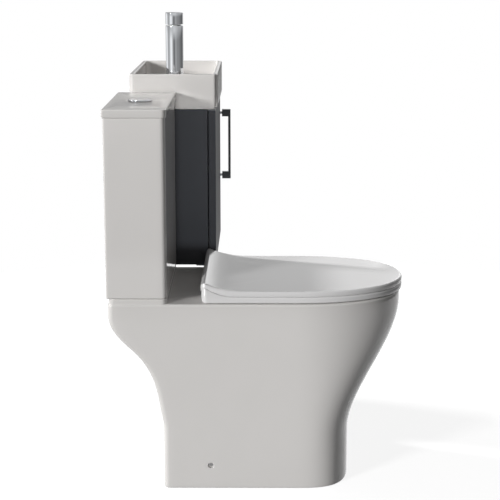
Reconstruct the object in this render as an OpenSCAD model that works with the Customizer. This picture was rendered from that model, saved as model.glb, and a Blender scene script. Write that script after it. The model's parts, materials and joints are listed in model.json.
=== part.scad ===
// Combined vanity and toilet unit: a close-coupled toilet with a slim cloakroom
// vanity beside its cistern, both held by one steel rail on the wall.
// X runs out from the wall, Y runs from the toilet to the vanity and Z is up.
// All sizes are in millimetres. The finished unit is drawn about its middle, on the floor.

/* [Pan] */
// Height of the rim above the floor
rim_h = 407; // [395:1:420]
// Width of the pan
pan_w = 360; // [350:2:370]
// Distance from the wall to the front of the rim
pan_front = 630; // [615:1:645]
// Distance from the wall to the front of the foot
foot_front = 518; // [505:1:535]
// Distance from the wall to the back of the foot
foot_back = 120; // [105:1:128]
// Thickness of the fired clay walls
pan_wall = 11; // [9:0.5:13]
// Thickness of the shelf and of the rim
deck_t = 14; // [12:0.5:18]
// Height of the step that carries the cistern
step_h = 10.7; // [8:0.1:14]
// Length of the bowl opening
bowl_l = 326; // [310:2:336]
// Width of the bowl opening
bowl_w = 240; // [220:2:252]
// Height of the outlet centre above the floor
outlet_z = 182; // [176:1:188]
// Outside diameter of the outlet spigot
outlet_d = 102; // [98:1:106]
// Inside diameter of the outlet spigot
outlet_bore = 86; // [80:1:90]
// Diameter of the trap way through the pan
trap_d = 56; // [52:1:60]
// Diameter of the side fixing holes
side_hole_d = 11.5; // [8:0.5:14]
// Height of the side fixing holes above the floor
side_hole_z = 51; // [45:1:60]

/* [Cistern] */
// Height of the cistern body
tank_h = 378; // [360:1:390]
// Depth of the cistern body out from the wall
tank_d = 127; // [122:1:134]
// Thickness of the cistern walls
tank_wall = 8; // [7:0.5:10]
// Thickness of the cistern floor
tank_floor = 12; // [10:0.5:15]
// Height of the lid's edge
tank_lid_t = 16.7; // [14:0.1:20]
// How far the lid stands over the body
lid_over = 2.5; // [1:0.5:4]
// Diameter of the flush button plate
plate_d = 53; // [50:1:58]
// Travel of the flush buttons
button_travel = 6; // [4:0.5:7]
// Distance between the close-coupling bolts
couple_span = 150; // [140:2:160]
// Diameter of the close-coupling bolts
couple_bolt_d = 8; // [6:1:8]

/* [Valves] */
// Height of the flush valve's cage above the cistern's underside
cage_h = 222; // [200:1:240]
// Diameter of the flush valve's tail
flush_tail_d = 58; // [54:1:60]
// Length of the flush piston
piston_l = 272; // [240:1:280]
// Diameter of the flush piston's tube
piston_d = 24; // [20:1:26]
// Height of the fill valve above the cistern's floor
fill_h = 310; // [280:1:315]
// Diameter of the fill valve's stem
fill_d = 18; // [16:1:20]
// Outside diameter of the float
float_d = 48; // [40:1:50]
// Height of the float
float_h = 70; // [60:1:80]

/* [Seat] */
// Distance from the wall to the back of the seat
seat_back = 201.4; // [200:0.2:203]
// How far the seat stands past the front of the rim
seat_over = 5; // [3:1:8]
// Thickness of the seat ring
ring_t = 13.1; // [11:0.1:15]
// Height of the lid above the ring
lid_t = 13.6; // [12:0.1:16]
// Height of the ridge along the back of the lid above its top
ridge_h = 16; // [12:1:17]
// Distance between the hinge posts
hinge_span = 155; // [145:1:165]
// Diameter of the hinge pins
hinge_pin_d = 6; // [5:0.5:7]

/* [Basin] */
// Height of the basin rim above the floor
basin_top = 853; // [845:1:860]
// Width of the basin along the wall
basin_w = 400; // [390:2:420]
// Depth of the basin out from the wall
basin_d = 201; // [196:1:206]
// Height of the basin's sides
basin_h = 75.5; // [72:0.5:80]
// Width of the basin rim
basin_rim = 10; // [8:0.5:12]
// Distance from the wall to the back of the basin
basin_back = 26.5; // [25:0.5:30]
// Gap between the toilet and the vanity
unit_gap = 5; // [4:0.5:12]
// Width of the sunk tap ledge
ledge_w = 70; // [66:1:80]
// Depth of the tap ledge below the rim
ledge_drop = 15; // [12:1:18]
// Depth of the bowl below the rim
bowl_depth = 57; // [54:1:59]

/* [Tap] */
// Diameter of the tap body
tap_d = 40; // [38:1:42]
// Height of the tap's top above the floor
tap_top = 990; // [975:1:1000]
// Height of the turning cap
cap_h = 27; // [24:1:30]
// Gap between the cap and the body
cap_gap = 2.5; // [2:0.5:3]
// Reach of the spout from the tap's middle
spout_reach = 130; // [110:1:140]
// Length of the pin lever past the cap
lever_l = 46; // [35:1:60]

/* [Waste] */
// Diameter of the basin waste's flange
waste_flange_d = 63; // [60:1:66]
// Outside diameter of the basin waste's tail
waste_tail_d = 45; // [43:0.5:46]
// Length of the basin waste below the bowl's floor
waste_l = 76; // [70:1:80]
// Height of the trap's outlet above the floor
waste_z = 650; // [645:1:655]
// Outside diameter of the trap
trap_body_d = 56; // [52:1:60]
// Outside diameter of the trap's outlet pipe
waste_pipe_d = 32; // [32:1:36]

/* [Cabinet] */
// Height of the cabinet's underside above the floor
cabinet_z = 410; // [405:1:425]
// Thickness of the boards
board_t = 16; // [15:0.5:18]
// Thickness of the back panel
back_t = 8; // [6:0.5:10]
// Thickness of the door
door_t = 16.5; // [15:0.5:18]
// Height of the shelf's underside above the floor
shelf_z = 570; // [540:5:575]
// Height of the handle from end to end
handle_h = 176.5; // [150:0.5:200]
// Distance from the basin's underside down to the top of the handle
handle_drop = 42.5; // [35:0.5:60]
// Width of the handle bar
handle_w = 11; // [9:0.5:13]

/* [Wall rail] */
// Height of the rail's wall screws above the floor
rail_z = 720; // [710:1:725]
// Thickness of the rail's steel
rail_t = 3; // [2.5:0.5:3.5]
// Distance between the rail's wall screws
rail_span = 600; // [560:10:610]
// Diameter of the rail's wall screw holes
rail_hole_d = 7; // [6:0.5:8]

/* [Hidden] */
$fn = 48;
gap = 0.3; // between parts that are set down on each other
run = 0.05; // radial clearance of a turning or sliding fit

// Heights that the parts share
tank_z = rim_h + step_h + gap;
tank_top = tank_z + tank_h;
lid_z = tank_top + gap;
lid_top = lid_z + tank_lid_t;
ring_z = rim_h + 1.5;
ring_top = ring_z + ring_t;
seat_lid_z = ring_top + gap;
seat_top = seat_lid_z + lid_t;
basin_z = basin_top - basin_h;
foot_h = 4.5;
cabinet_top = basin_z - foot_h - gap;
ledge_z = basin_top - ledge_drop;
bowl_floor = basin_top - bowl_depth;

// The pan's middle line and the unit's outer size
mid_y = pan_w / 2;
vanity_y = pan_w + unit_gap;
unit_d = pan_front + seat_over;
unit_w = vanity_y + basin_w;

// The nose in plan, for the pan's rim and the seat, then for the foot: where it starts, and how square it is
rim_nose = pan_front - 232;
rim_power = 2.2;
foot_nose = 128;
foot_power = 3.4;

// Cistern
tank_x = rail_t + gap;
tank_front = tank_x + tank_d;
tank_side = 2;
tank_corner = 11;
valve_x = 66;
fill_y = pan_w - 55;
flush_tail_r = flush_tail_d / 2;
flush_hole_r = flush_tail_r + 2;
inlet_r = 10.45;
shank_r = 11.5;
couple_y = [mid_y - couple_span / 2, mid_y + couple_span / 2];
bolt_hole_r = couple_bolt_d / 2 + 2.5;
well_r = flush_tail_r + 15;
well_depth = 34;
button_r = plate_d / 2 - 4;
button_top = lid_top + 2.3;
button_split = 5;
rod_offset = 17;
stud_y = [70, pan_w - 70];

// Seat: the hinge axis and the ring's outline
hinge_x = seat_back + 14.6;
hinge_z = rim_h + 21;
barrel_r = hinge_x - seat_back;
lid_back = seat_back - 1.4;
post_y = [mid_y - hinge_span / 2, mid_y + hinge_span / 2];
post_r = 7;
post_half = 13;
notch_near = post_half + 1.5;
notch_far = post_half + 10;
seat_side = 3;

// Basin and tap
basin_front = basin_back + basin_d;
tap_x = basin_back + basin_d / 2 + 1.5;
tap_y = vanity_y + 40;
ledge_t = 12;
tap_body_z = ledge_z + 2.3;
tap_body_top = tap_top - cap_h - cap_gap;
spout_z = tap_top - 85;
drain_x = basin_back + basin_d / 2;
drain_y = vanity_y + 235;
tail_r = waste_tail_d / 2;
drain_r = tail_r + 0.7;
bowl_near = vanity_y + basin_rim + ledge_w;

// Cabinet
cabinet_y0 = vanity_y + 1;
cabinet_y1 = vanity_y + basin_w - 1;
carcass_front = basin_front - 23.5;
door_x = carcass_front + 2;
door_front = door_x + door_t;
door_z0 = cabinet_z + 1.5;
door_z1 = cabinet_top - 2.6;
pivot_x = door_front - 5.5;
pivot_y = cabinet_y0 + 5.5;
pivot_r = 3;
pivot_t = 2;
handle_y = cabinet_y1 - 49;
handle_top = basin_z - handle_drop;
handle_x = door_front + 6;
handle_out = 21.5;
handle_leg = 18;
handle_bar = 6;
screw_z = [handle_top - handle_leg / 2, handle_top - handle_h + handle_leg / 2];
waste_r = waste_pipe_d / 2;
trap_r = trap_body_d / 2;

// Wall rail
rail_z0 = rail_z - 30;
rail_z1 = rail_z + 30;
rail_y0 = stud_y[0] - 25;
rail_y1 = vanity_y + basin_w - 30;
rail_mid = (rail_y0 + rail_y1) / 2;
hanger_y = [cabinet_y0 + 60, cabinet_y1 - 60];

// Places a piece, drawn from the wall and the toilet's near side, about the unit's middle
module place() {
    translate([-unit_d / 2, -unit_w / 2, 0]) children();
}

module block(low, high) {
    translate(low) cube(high - low);
}

module rod(at, r, h) {
    translate(at) cylinder(h = h, r = r);
}

module rod_x(at, r, l) {
    translate(at) rotate([0, 90, 0]) cylinder(h = l, r = r);
}

module rod_y(at, r, l) {
    translate(at) rotate([-90, 0, 0]) cylinder(h = l, r = r);
}

module tube(at, r, bore, h) {
    difference() {
        rod(at, r, h);
        rod(at - [0, 0, 1], bore, h + 2);
    }
}

// A six-sided nut with its hole, across flats of 1.73 times r
module nut(at, r, bore, h) {
    translate(at) difference() {
        cylinder(h = h, r = r, $fn = 6);
        translate([0, 0, -1]) cylinder(h = h + 2, r = bore);
    }
}

function arc(x, y, r, from, to, n) = [
    for (i = [0 : n]) let (a = from + (to - from) * i / n) [x + r * cos(a), y + r * sin(a)]
];

function round_rect(x0, y0, x1, y1, r, n = 5) = concat(
    arc(x1 - r, y0 + r, r, -90, 0, n),
    arc(x1 - r, y1 - r, r, 0, 90, n),
    arc(x0 + r, y1 - r, r, 90, 180, n),
    arc(x0 + r, y0 + r, r, 180, 270, n)
);

// An upright slab with rounded corners in plan
module slab(low, high, r) {
    translate([0, 0, low.z]) linear_extrude(high.z - low.z)
        polygon(round_rect(low.x, low.y, high.x, high.y, r));
}

// An S-shaped step from 0 to 1 between two heights
function smooth(z, from, to) =
    let (u = min(1, max(0, (z - from) / (to - from)))) u * u * (3 - 2 * u);

// Half of a long round nose, as a superellipse from the +Y side to the -Y side
function nose(x, l, half, power, n = 20) = [
    for (i = [0 : n]) let (a = 180 * i / n, c = cos(a), s = sin(a))
        [x + l * pow(max(s, 0), 2 / power), mid_y + sign(c) * half * pow(abs(c), 2 / power)]
];

// A closed skin over a stack of rings, each with as many points and counted anticlockwise
module loft(rings) {
    n = len(rings[0]);
    m = len(rings);
    walls = [
        for (j = [0 : m - 2]) for (i = [0 : n - 1])
            let (k = (i + 1) % n, a = j * n + i, b = j * n + k)
            each [[a, b + n, b], [a, a + n, b + n]]
    ];
    lowest = [for (i = [0 : n - 1]) i];
    highest = [for (i = [n - 1 : -1 : 0]) (m - 1) * n + i];
    polyhedron([for (ring = rings) each ring], concat([lowest, highest], walls), convexity = 8);
}

// How far the pan's front has swept out from its foot, 0, to its rim, 1
function pan_sweep(z) = smooth(z, rim_h * 0.253, rim_h * 0.947);

// The pan's outline at a height: the back sweeps out to the cistern, the front to the rim,
// and the blunt foot turns into the rim's rounder nose
function pan_back_x(z) =
    foot_back - (foot_back - 6)
        * (1.94 * smooth(z, rim_h * 0.334, rim_h * 0.931) - 0.94 * smooth(z, rim_h * 0.361, rim_h * 0.76));
function pan_front_x(z) = foot_front + (pan_front - foot_front) * pan_sweep(z);
function pan_nose_x(z) = foot_front - foot_nose + (rim_nose - foot_front + foot_nose) * pan_sweep(z);
function pan_power(z) = foot_power + (rim_power - foot_power) * pan_sweep(z);
function pan_half(z) = pan_w / 2 - 5 * (1 - smooth(z, rim_h * 0.4, rim_h * 0.9));

function pan_ring(z, level, inset) =
    let (x0 = pan_back_x(z) + inset, half = pan_half(z) - inset, tip = pan_front_x(z) - inset,
        r = max(2, 12 - inset), flat = nose(pan_nose_x(z), tip - pan_nose_x(z), half, pan_power(z)))
    [for (p = concat(
        [for (i = [len(flat) - 1 : -1 : 0]) flat[i]],
        arc(x0 + r, mid_y + half - r, r, 90, 180, 3),
        arc(x0 + r, mid_y - half + r, r, 180, 270, 3)
    )) [p.x, p.y, level]];

function pan_skin(inset, from, to, steps) = [
    for (i = [0 : steps]) let (z = from + (to - from) * i / steps) pan_ring(z, z, inset)
];

// The bowl at a height: u is 1 at the rim and 0 at the sump, whose foot is round
sump_z = outlet_z - 4;
sump_x = 404;
sump_r = 42;
bowl_back = 262;
function bowl_ring(z, grow) =
    let (u = max(0, (z - sump_z) / (rim_h - sump_z)),
        back = bowl_back + 108 * smooth(0.8 - u, 0, 0.8),
        front = bowl_back + bowl_l - (bowl_back + bowl_l - sump_x - sump_r) * pow(max(0, 1 - u), 1.6),
        half = sump_r + (bowl_w / 2 - sump_r) * pow(u, 0.6),
        round = sqrt(max(0.01, 1 - pow(max(0, sump_z - z) / (sump_r + grow), 2))))
    [for (i = [0 : 29]) let (a = i * 12) [
        (front + back) / 2 + ((front - back) / 2 + grow) * round * cos(a),
        mid_y + (half + grow) * round * sin(a), z
    ]];
function bowl_skin(grow, top) = concat(
    [for (i = [0 : 4]) bowl_ring(sump_z - (sump_r + grow) * cos(12 + 18 * i), grow)],
    [for (i = [1 : 9]) bowl_ring(sump_z + (top - sump_z) * i / 9, grow)]
);

// The trap way: it leaves the sump level, climbs over the weir and drops to the outlet.
// Each stop is a place in the middle plane, X and Z, with its slope in degrees.
way_r = trap_d / 2;
way_up = 55;
way_down = -75;
way_bend = 41;
weir_z = outlet_z + 98;
spigot_x = foot_back + 2;
spigot_l = 40;
way_foot = foot_back + 38;
way_z = sump_z - 22;
climb_l = (weir_z - way_z - 2 * way_bend * (1 - cos(way_up))) / sin(way_up);
drop_l = (weir_z - outlet_z - 2 * way_bend * (1 - cos(way_down))) / -sin(way_down);
way_x = way_foot + 2 * way_bend * (sin(way_up) - sin(way_down))
    + climb_l * cos(way_up) + drop_l * cos(way_down);
function turn(at, to, n) = [
    for (i = [0 : n]) let (h = at[2] + (to - at[2]) * i / n, k = sign(to - at[2]) * way_bend)
        [at[0] - k * (sin(h) - sin(at[2])), at[1] + k * (cos(at[2]) - cos(h)), h]
];
function ahead(at, l) = [at[0] - l * cos(at[2]), at[1] + l * sin(at[2]), at[2]];
way_first = turn([way_x, way_z, 0], way_up, 4);
way_second = turn(ahead(way_first[4], climb_l), way_down, 9);
way_third = turn(ahead(way_second[9], drop_l), 0, 5);
function way_ring(at, r) = [
    for (i = [0 : 15]) let (a = 22.5 * i, c = r * cos(a))
        [at[0] + c * sin(at[2]), mid_y + r * sin(a), at[1] + c * cos(at[2])]
];

module trap_way(r) {
    stops = concat([[sump_x, way_z, 0]], way_first, way_second, way_third, [[spigot_x + 2, outlet_z, 0]]);
    loft([for (at = stops) way_ring(at, r)]);
}

module pan() color("gainsboro") place() {
    flush_z = rim_h - 44;
    difference() {
        union() {
            difference() {
                loft(pan_skin(0, 0, rim_h, 20));
                loft(pan_skin(pan_wall, -10, rim_h - deck_t, 20));
                block([-10, 30, -10], [foot_back + 30, pan_w - 30, rim_h - 32]);
            }
            slab([8, tank_side, rim_h - 1], [tank_front, pan_w - tank_side, rim_h + step_h], 12);
            loft(bowl_skin(9, rim_h - 8));
            trap_way(way_r + 9);
            rod_x([spigot_x, mid_y, outlet_z], outlet_d / 2, spigot_l);
            rod([valve_x, mid_y, rim_h - 66], well_r + 10, 64);
            rod_x([valve_x, mid_y, flush_z], 31, bowl_back - valve_x);
        }
        loft(bowl_skin(0, rim_h + 0.5));
        trap_way(way_r);
        rod_x([spigot_x - 1, mid_y, outlet_z], outlet_bore / 2, spigot_l - 8);
        rod([valve_x, mid_y, tank_z - well_depth], well_r, well_depth + 5);
        rod([valve_x, mid_y, flush_z - 2], 25, 60);
        rod_x([valve_x, mid_y, flush_z], 21, bowl_back + 12 - valve_x);
        for (y = couple_y) rod([valve_x, y, rim_h - 40], bolt_hole_r, 60);
        rod([valve_x, fill_y, rim_h - 40], 20, 60);
        for (y = post_y) rod([hinge_x, y, rim_h - 40], 7, 60);
        rod_y([220, -10, side_hole_z], side_hole_d / 2, pan_w + 20);
    }
}

module cistern_tank() color("gainsboro") place() {
    inner = tank_x + tank_wall;
    difference() {
        slab([tank_x, tank_side, tank_z], [tank_front, pan_w - tank_side, tank_top], tank_corner);
        slab([inner, tank_side + tank_wall, tank_z + tank_floor],
            [tank_front - tank_wall, pan_w - tank_side - tank_wall, tank_top + 5], 8);
        rod([valve_x, mid_y, tank_z - 1], flush_hole_r, tank_floor + 2);
        for (y = couple_y) rod([valve_x, y, tank_z - 1], bolt_hole_r, tank_floor + 2);
        rod([valve_x, fill_y, tank_z - 1], shank_r + 1, tank_floor + 2);
        for (y = stud_y) rod_x([tank_x - 1, y, rail_z], 4.6, tank_wall + 2);
    }
}

module cistern_lid() color("gainsboro") place() {
    lip = tank_wall + 1;
    difference() {
        union() {
            slab([tank_x - lid_over, tank_side - lid_over + 0.5, lid_z],
                [tank_front + lid_over, pan_w - tank_side + lid_over - 0.5, lid_top], tank_corner);
            slab([tank_x + lip, tank_side + lip, lid_z - 7],
                [tank_front - lip, pan_w - tank_side - lip, lid_z + 1], 8);
        }
        slab([tank_x + lip + 5, tank_side + lip + 5, lid_z - 8],
            [tank_front - lip - 5, pan_w - tank_side - lip - 5, lid_top - 9], 6);
        rod([valve_x, mid_y, lid_z - 10], button_r + 2.5, 40);
    }
}

module coupling_bolts() color("goldenrod") place() {
    for (y = couple_y) {
        rod([valve_x, y, tank_z + tank_floor + 3], couple_bolt_d, 5);
        rod([valve_x, y, rim_h - deck_t - 26], couple_bolt_d / 2, tank_z + tank_floor - rim_h + deck_t + 30);
    }
}

// A rubber washer under each bolt head and a steel one over each wing nut
module coupling_washers() color("dimgray") place() {
    for (y = couple_y) {
        tube([valve_x, y, tank_z + tank_floor + gap], 14, couple_bolt_d / 2 + run, 2.6);
        tube([valve_x, y, rim_h - deck_t - 2.3], 13, couple_bolt_d / 2 + run, 2);
    }
}

module coupling_nuts() color("goldenrod") place() {
    low = rim_h - deck_t - 14;
    for (y = couple_y) difference() {
        union() {
            rod([valve_x, y, low], 8, 11.4);
            block([valve_x - 16, y - 2, low], [valve_x + 16, y + 2, low + 8]);
        }
        rod([valve_x, y, low - 1], couple_bolt_d / 2 + run, 20);
    }
}

// The thick rubber ring that seals the cistern's tail into the pan
module coupling_seal() color("dimgray") place() {
    low = tank_z - well_depth + gap;
    tube([valve_x, mid_y, low], well_r - gap, flush_tail_r + gap, tank_z - 12 - gap - low);
}

cage_top = tank_z + cage_h;

cage_r = flush_tail_r + 5;

module flush_valve_body() color("white") place() {
    seat = tank_z + tank_floor + gap;
    difference() {
        union() {
            rod([valve_x, mid_y, tank_z - 26], flush_tail_r, seat - tank_z + 26);
            rod([valve_x, mid_y, seat], flush_tail_r + 11, 6);
            rod([valve_x, mid_y, cage_top], cage_r + 4, button_travel + 6);
            for (i = [0 : 3]) {
                a = 45 + 90 * i;
                rod([valve_x + cage_r * cos(a), mid_y + cage_r * sin(a), seat + 5], 3, cage_top - seat - 4);
            }
        }
        rod([valve_x, mid_y, tank_z - 27], flush_tail_r - 5, 60);
        rod([valve_x, mid_y, cage_top - 1], piston_d / 2 + run, 20);
        for (s = [-1, 1]) rod([valve_x, mid_y + s * rod_offset, cage_top - 1], 3 + run, 20);
    }
}

module flush_valve_nut() color("white") place() {
    tube([valve_x, mid_y, tank_z - 12], flush_tail_r + 10, flush_tail_r + run, 12 - gap);
}

piston_z = tank_z + tank_floor + 10.5;

module flush_piston() color("steelblue") place() {
    difference() {
        union() {
            rod([valve_x, mid_y, piston_z], flush_tail_r, 4);
            rod([valve_x, mid_y, piston_z], piston_d / 2, piston_l);
        }
        rod([valve_x, mid_y, piston_z - 1], piston_d / 2 - 2.5, piston_l + 2);
    }
}

module flush_seal() color("dimgray") place() {
    tube([valve_x, mid_y, tank_z + tank_floor + 6.6], flush_tail_r, piston_d / 2 - 2, 3.6);
}

module fill_valve() color("white") place() {
    floor_z = tank_z + tank_floor + gap;
    difference() {
        union() {
            rod([valve_x, fill_y, tank_z - 60], inlet_r, 60);
            rod([valve_x, fill_y, tank_z - 26], shank_r, 26 + tank_floor + 4);
            rod([valve_x, fill_y, floor_z], 16, 5);
            rod([valve_x, fill_y, floor_z], fill_d / 2, fill_h - 35);
            rod([valve_x, fill_y, floor_z + fill_h - 42], 16, 34);
            rod([valve_x, fill_y, floor_z + fill_h - 9], 10, 9);
        }
        rod([valve_x, fill_y, tank_z - 61], inlet_r - 4, 52);
    }
}

module fill_valve_nut() color("white") place() {
    nut([valve_x, fill_y, tank_z - 9], 17, shank_r + run, 9 - gap);
}

// The float cup rides up and down the fill valve's stem; it hangs low while there is no water
float_z = tank_z + 110;
module fill_float() color("steelblue") place() {
    difference() {
        rod([valve_x, fill_y, float_z], float_d / 2, float_h);
        rod([valve_x, fill_y, float_z - 1], fill_d / 2 + run, float_h + 2);
        tube([valve_x, fill_y, float_z - 1], float_d / 2 - 3, fill_d / 2 + 4, float_h - 9);
    }
}

module button_plate() color("silver") place() {
    difference() {
        union() {
            rod([valve_x, mid_y, lid_top + gap], plate_d / 2, 1.6);
            rod([valve_x, mid_y, lid_top - 24], button_r + 2, 25);
        }
        rod([valve_x, mid_y, lid_top - 30], button_r + gap, 60);
    }
}

module button_plate_nut() color("white") place() {
    tube([valve_x, mid_y, lid_top - 9 - 8 - gap], button_r + 9, button_r + 2 + run, 8);
}

// One side of the split round button
module button_half(from, to) {
    intersection() {
        rod([valve_x, mid_y, lid_top - 14], button_r, button_top - lid_top + 14);
        block([0, from, 0], [200, to, 2000]);
    }
}

module flush_button_full() color("silver") place() {
    button_half(0, mid_y + button_split - gap / 2);
}

module flush_button_half() color("silver") place() {
    button_half(mid_y + button_split + gap / 2, pan_w);
}

module flush_rod(y) {
    low = cage_top + 1 + button_travel;
    rod([valve_x, y, low], 3, lid_top - 14 - low);
}

module flush_rod_full() color("steelblue") place() {
    flush_rod(mid_y - rod_offset);
}

module flush_rod_half() color("steelblue") place() {
    flush_rod(mid_y + rod_offset);
}

// The seat's outline in plan
function seat_outline(inset) =
    let (x0 = lid_back + inset, half = pan_w / 2 - seat_side - inset, r = 13)
    concat(
        [for (p = nose(rim_nose, unit_d - inset - rim_nose, half, rim_power)) [p.x, 2 * mid_y - p.y]],
        arc(x0 + r, mid_y + half - r, r, 90, 180, 4),
        arc(x0 + r, mid_y - half + r, r, 180, 270, 4)
    );

module seat_block(inset, from, to) {
    translate([0, 0, from]) linear_extrude(to - from) polygon(seat_outline(inset));
}

// A long oval, the hole of the ring
module oval(x, l, half, from, to) {
    translate([0, 0, from]) linear_extrude(to - from)
        polygon([for (i = [0 : 47]) [x + l * cos(7.5 * i), mid_y + half * sin(7.5 * i)]]);
}

// What every post leaves free in the ring
module post_notch(y, turn) {
    near = turn > 0 ? y - notch_near : y - notch_far;
    block([lid_back - 5, near, rim_h - 5], [hinge_x + 20, near + notch_near + notch_far, seat_top + 40]);
}

module seat_ring() color("white") place() {
    difference() {
        intersection() {
            seat_block(0, rim_h - 10, seat_top + 30);
            union() {
                block([hinge_x - 3, 0, ring_z], [unit_d + 5, pan_w, ring_top]);
                rod_y([hinge_x, 0, hinge_z], barrel_r, pan_w);
            }
        }
        oval(bowl_back + bowl_l / 2 + 6, bowl_l / 2 - 20, bowl_w / 2 - 20, rim_h - 5, seat_top);
        post_notch(post_y[0], -1);
        post_notch(post_y[1], 1);
        for (y = post_y) rod_y([hinge_x, y - 40, hinge_z], hinge_pin_d / 2 + run, 80);
        for (p = buffer_spots) rod([p.x, p.y, ring_z - 1], 7 + gap, 3.5);
    }
}
buffer_spots = [[300, 30], [300, pan_w - 30], [500, 55], [500, pan_w - 55]];

// The lid's side outline: a ridge at the back, a cove and a level top
module lid_side() {
    cove_r = ridge_h + 3;
    cove_x = hinge_x + 24;
    polygon(concat(
        [[lid_back, hinge_z + 6], [lid_back, seat_top + ridge_h - 9]],
        arc(lid_back + 9, seat_top + ridge_h - 9, 9, 180, 60, 5),
        arc(cove_x, seat_top + cove_r, cove_r, 200, 270, 6),
        [[unit_d, seat_top], [unit_d, seat_lid_z], [hinge_x + 12, seat_lid_z]]
    ));
}

module seat_lid() color("white") place() {
    difference() {
        union() {
            difference() {
                intersection() {
                    seat_block(0, rim_h, seat_top + 40);
                    translate([0, pan_w, 0]) rotate([90, 0, 0]) linear_extrude(pan_w) lid_side();
                }
                rod_y([hinge_x, -1, hinge_z], barrel_r + 0.4, pan_w + 2);
                for (y = post_y)
                    block([lid_back - 1, y - post_half - 0.4, rim_h],
                          [hinge_x - 12, y + post_half + 0.4, hinge_z + 8.5]);
                difference() {
                    seat_block(8, seat_lid_z - 1, seat_top - 3.6);
                    block([0, 0, 0], [hinge_x + 34, pan_w, 1000]);
                }
            }
            for (i = [0, 1]) {
                y = i == 0 ? post_y[0] - post_half - 8.4 : post_y[1] + post_half + 0.4;
                rod_y([hinge_x, y, hinge_z], 8.5, 8);
                block([hinge_x - 6, y, hinge_z], [hinge_x + 5, y + 8, hinge_z + 17]);
            }
        }
        for (y = post_y) rod_y([hinge_x, y - 40, hinge_z], hinge_pin_d / 2 + run, 80);
    }
}

module seat_hinge_posts() color("silver") place() {
    for (y = post_y) difference() {
        union() {
            rod([hinge_x, y, rim_h + gap], 12, 3);
            block([hinge_x - 5, y - post_half + 4, rim_h + 2], [hinge_x + 5, y + post_half - 4, hinge_z]);
            rod_y([hinge_x, y - post_half, hinge_z], post_r, 2 * post_half);
            rod([hinge_x, y, rim_h - 52], 4, 54);
        }
        rod_y([hinge_x, y - 30, hinge_z], hinge_pin_d / 2 + run, 60);
    }
}

module seat_hinge_pins() color("silver") place() {
    for (i = [0, 1]) {
        low = i == 0 ? post_y[0] - 38 : post_y[1] - 29;
        rod_y([hinge_x, low, hinge_z], hinge_pin_d / 2, 67);
    }
}

module seat_fixing_nuts() color("white") place() {
    low = rim_h - deck_t - 14;
    for (y = post_y) {
        tube([hinge_x, y, low + 11], 13, 4 + run, 2.7);
        nut([hinge_x, y, low], 10, 4 + run, 10.7);
    }
}

module ring_buffers() color("whitesmoke") place() {
    for (p = buffer_spots) rod([p.x, p.y, rim_h + gap], 7, 3.4);
}

module lid_buffers() color("whitesmoke") place() {
    for (p = buffer_spots) rod([p.x, p.y, ring_top + gap], 6, lid_t - 3.6);
}

// A steel strip on the wall with studs for the cistern and an upturned edge for the cabinet
module wall_rail() color("lightgray") place() {
    y0 = cabinet_y0 + 10;
    difference() {
        union() {
            block([0, rail_y0, rail_z0], [rail_t, rail_y1, rail_z1]);
            block([0, y0, rail_z1 - rail_t], [18, rail_y1, rail_z1]);
            block([18 - rail_t, y0, rail_z1 - rail_t], [18, rail_y1, rail_z1 + 14]);
            for (y = stud_y) rod_x([0, y, rail_z], 4, tank_x + tank_wall + 12);
        }
        for (y = [rail_mid - rail_span / 2, rail_mid + rail_span / 2]) {
            rod_x([-1, y, rail_z], rail_hole_d / 2, 30);
            translate([1, y, rail_z]) rotate([0, 90, 0])
                cylinder(h = rail_t, r1 = rail_hole_d / 2, r2 = rail_hole_d / 2 + rail_t);
        }
    }
}

module rail_nuts() color("silver") place() {
    for (y = stud_y) {
        translate([tank_x + tank_wall + gap, y, rail_z]) rotate([0, 90, 0]) union() {
            tube([0, 0, 0], 11, 4 + run, 2);
            nut([0, 0, 2], 7.5, 4 + run, 6);
        }
    }
}

// Hooks on the cabinet's back that drop behind the rail's upturned edge
module cabinet_hangers() color("silver") place() {
    lip_x = 18 - rail_t - gap - 3;
    top = rail_z1 + 14 + gap + 3;
    for (y = hanger_y) {
        block([basin_back - gap - 3, y - 20, rail_z0], [basin_back - gap, y + 20, top]);
        block([lip_x, y - 20, top - 3], [basin_back - gap, y + 20, top]);
        block([lip_x, y - 20, rail_z1 + 2], [lip_x + 3, y + 20, top]);
    }
}

// The shallow recess for the upper pivot plate
module plate_recess() {
    block([carcass_front - 30, cabinet_y0 - 1, cabinet_top - pivot_t - gap],
        [carcass_front + 1, cabinet_y0 + 26, cabinet_top + 1]);
}

module cabinet_near_side() color("dimgray") place() {
    difference() {
        block([basin_back, cabinet_y0, cabinet_z], [carcass_front, cabinet_y0 + board_t, cabinet_top]);
        plate_recess();
        for (z = shelf_pin_z) for (x = shelf_pin_x)
            rod_y([x, cabinet_y0 + board_t - 9, z], 2.5 + run, 12);
    }
}
shelf_pin_x = [basin_back + 40, carcass_front - 40];
shelf_pin_z = [shelf_z - 2.8];

module cabinet_far_side() color("dimgray") place() {
    difference() {
        block([basin_back, cabinet_y1 - board_t, cabinet_z], [carcass_front, cabinet_y1, cabinet_top]);
        for (z = shelf_pin_z) for (x = shelf_pin_x)
            rod_y([x, cabinet_y1 - board_t - 3, z], 2.5 + run, 12);
    }
}

module cabinet_bottom() color("dimgray") place() {
    block([basin_back, cabinet_y0 + board_t, cabinet_z],
        [carcass_front, cabinet_y1 - board_t, cabinet_z + board_t]);
}

module cabinet_top_rails() color("dimgray") place() {
    difference() {
        for (x = [basin_back + back_t, carcass_front - 20])
            block([x, cabinet_y0 + board_t, cabinet_top - 19], [x + 20, cabinet_y1 - board_t, cabinet_top]);
        plate_recess();
    }
}

module cabinet_back() color("dimgray") place() {
    difference() {
        block([basin_back, cabinet_y0 + board_t, cabinet_z + board_t],
            [basin_back + back_t, cabinet_y1 - board_t, cabinet_top]);
        rod_x([basin_back - 1, drain_y, waste_z], waste_r + 6, back_t + 2);
    }
}

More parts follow.
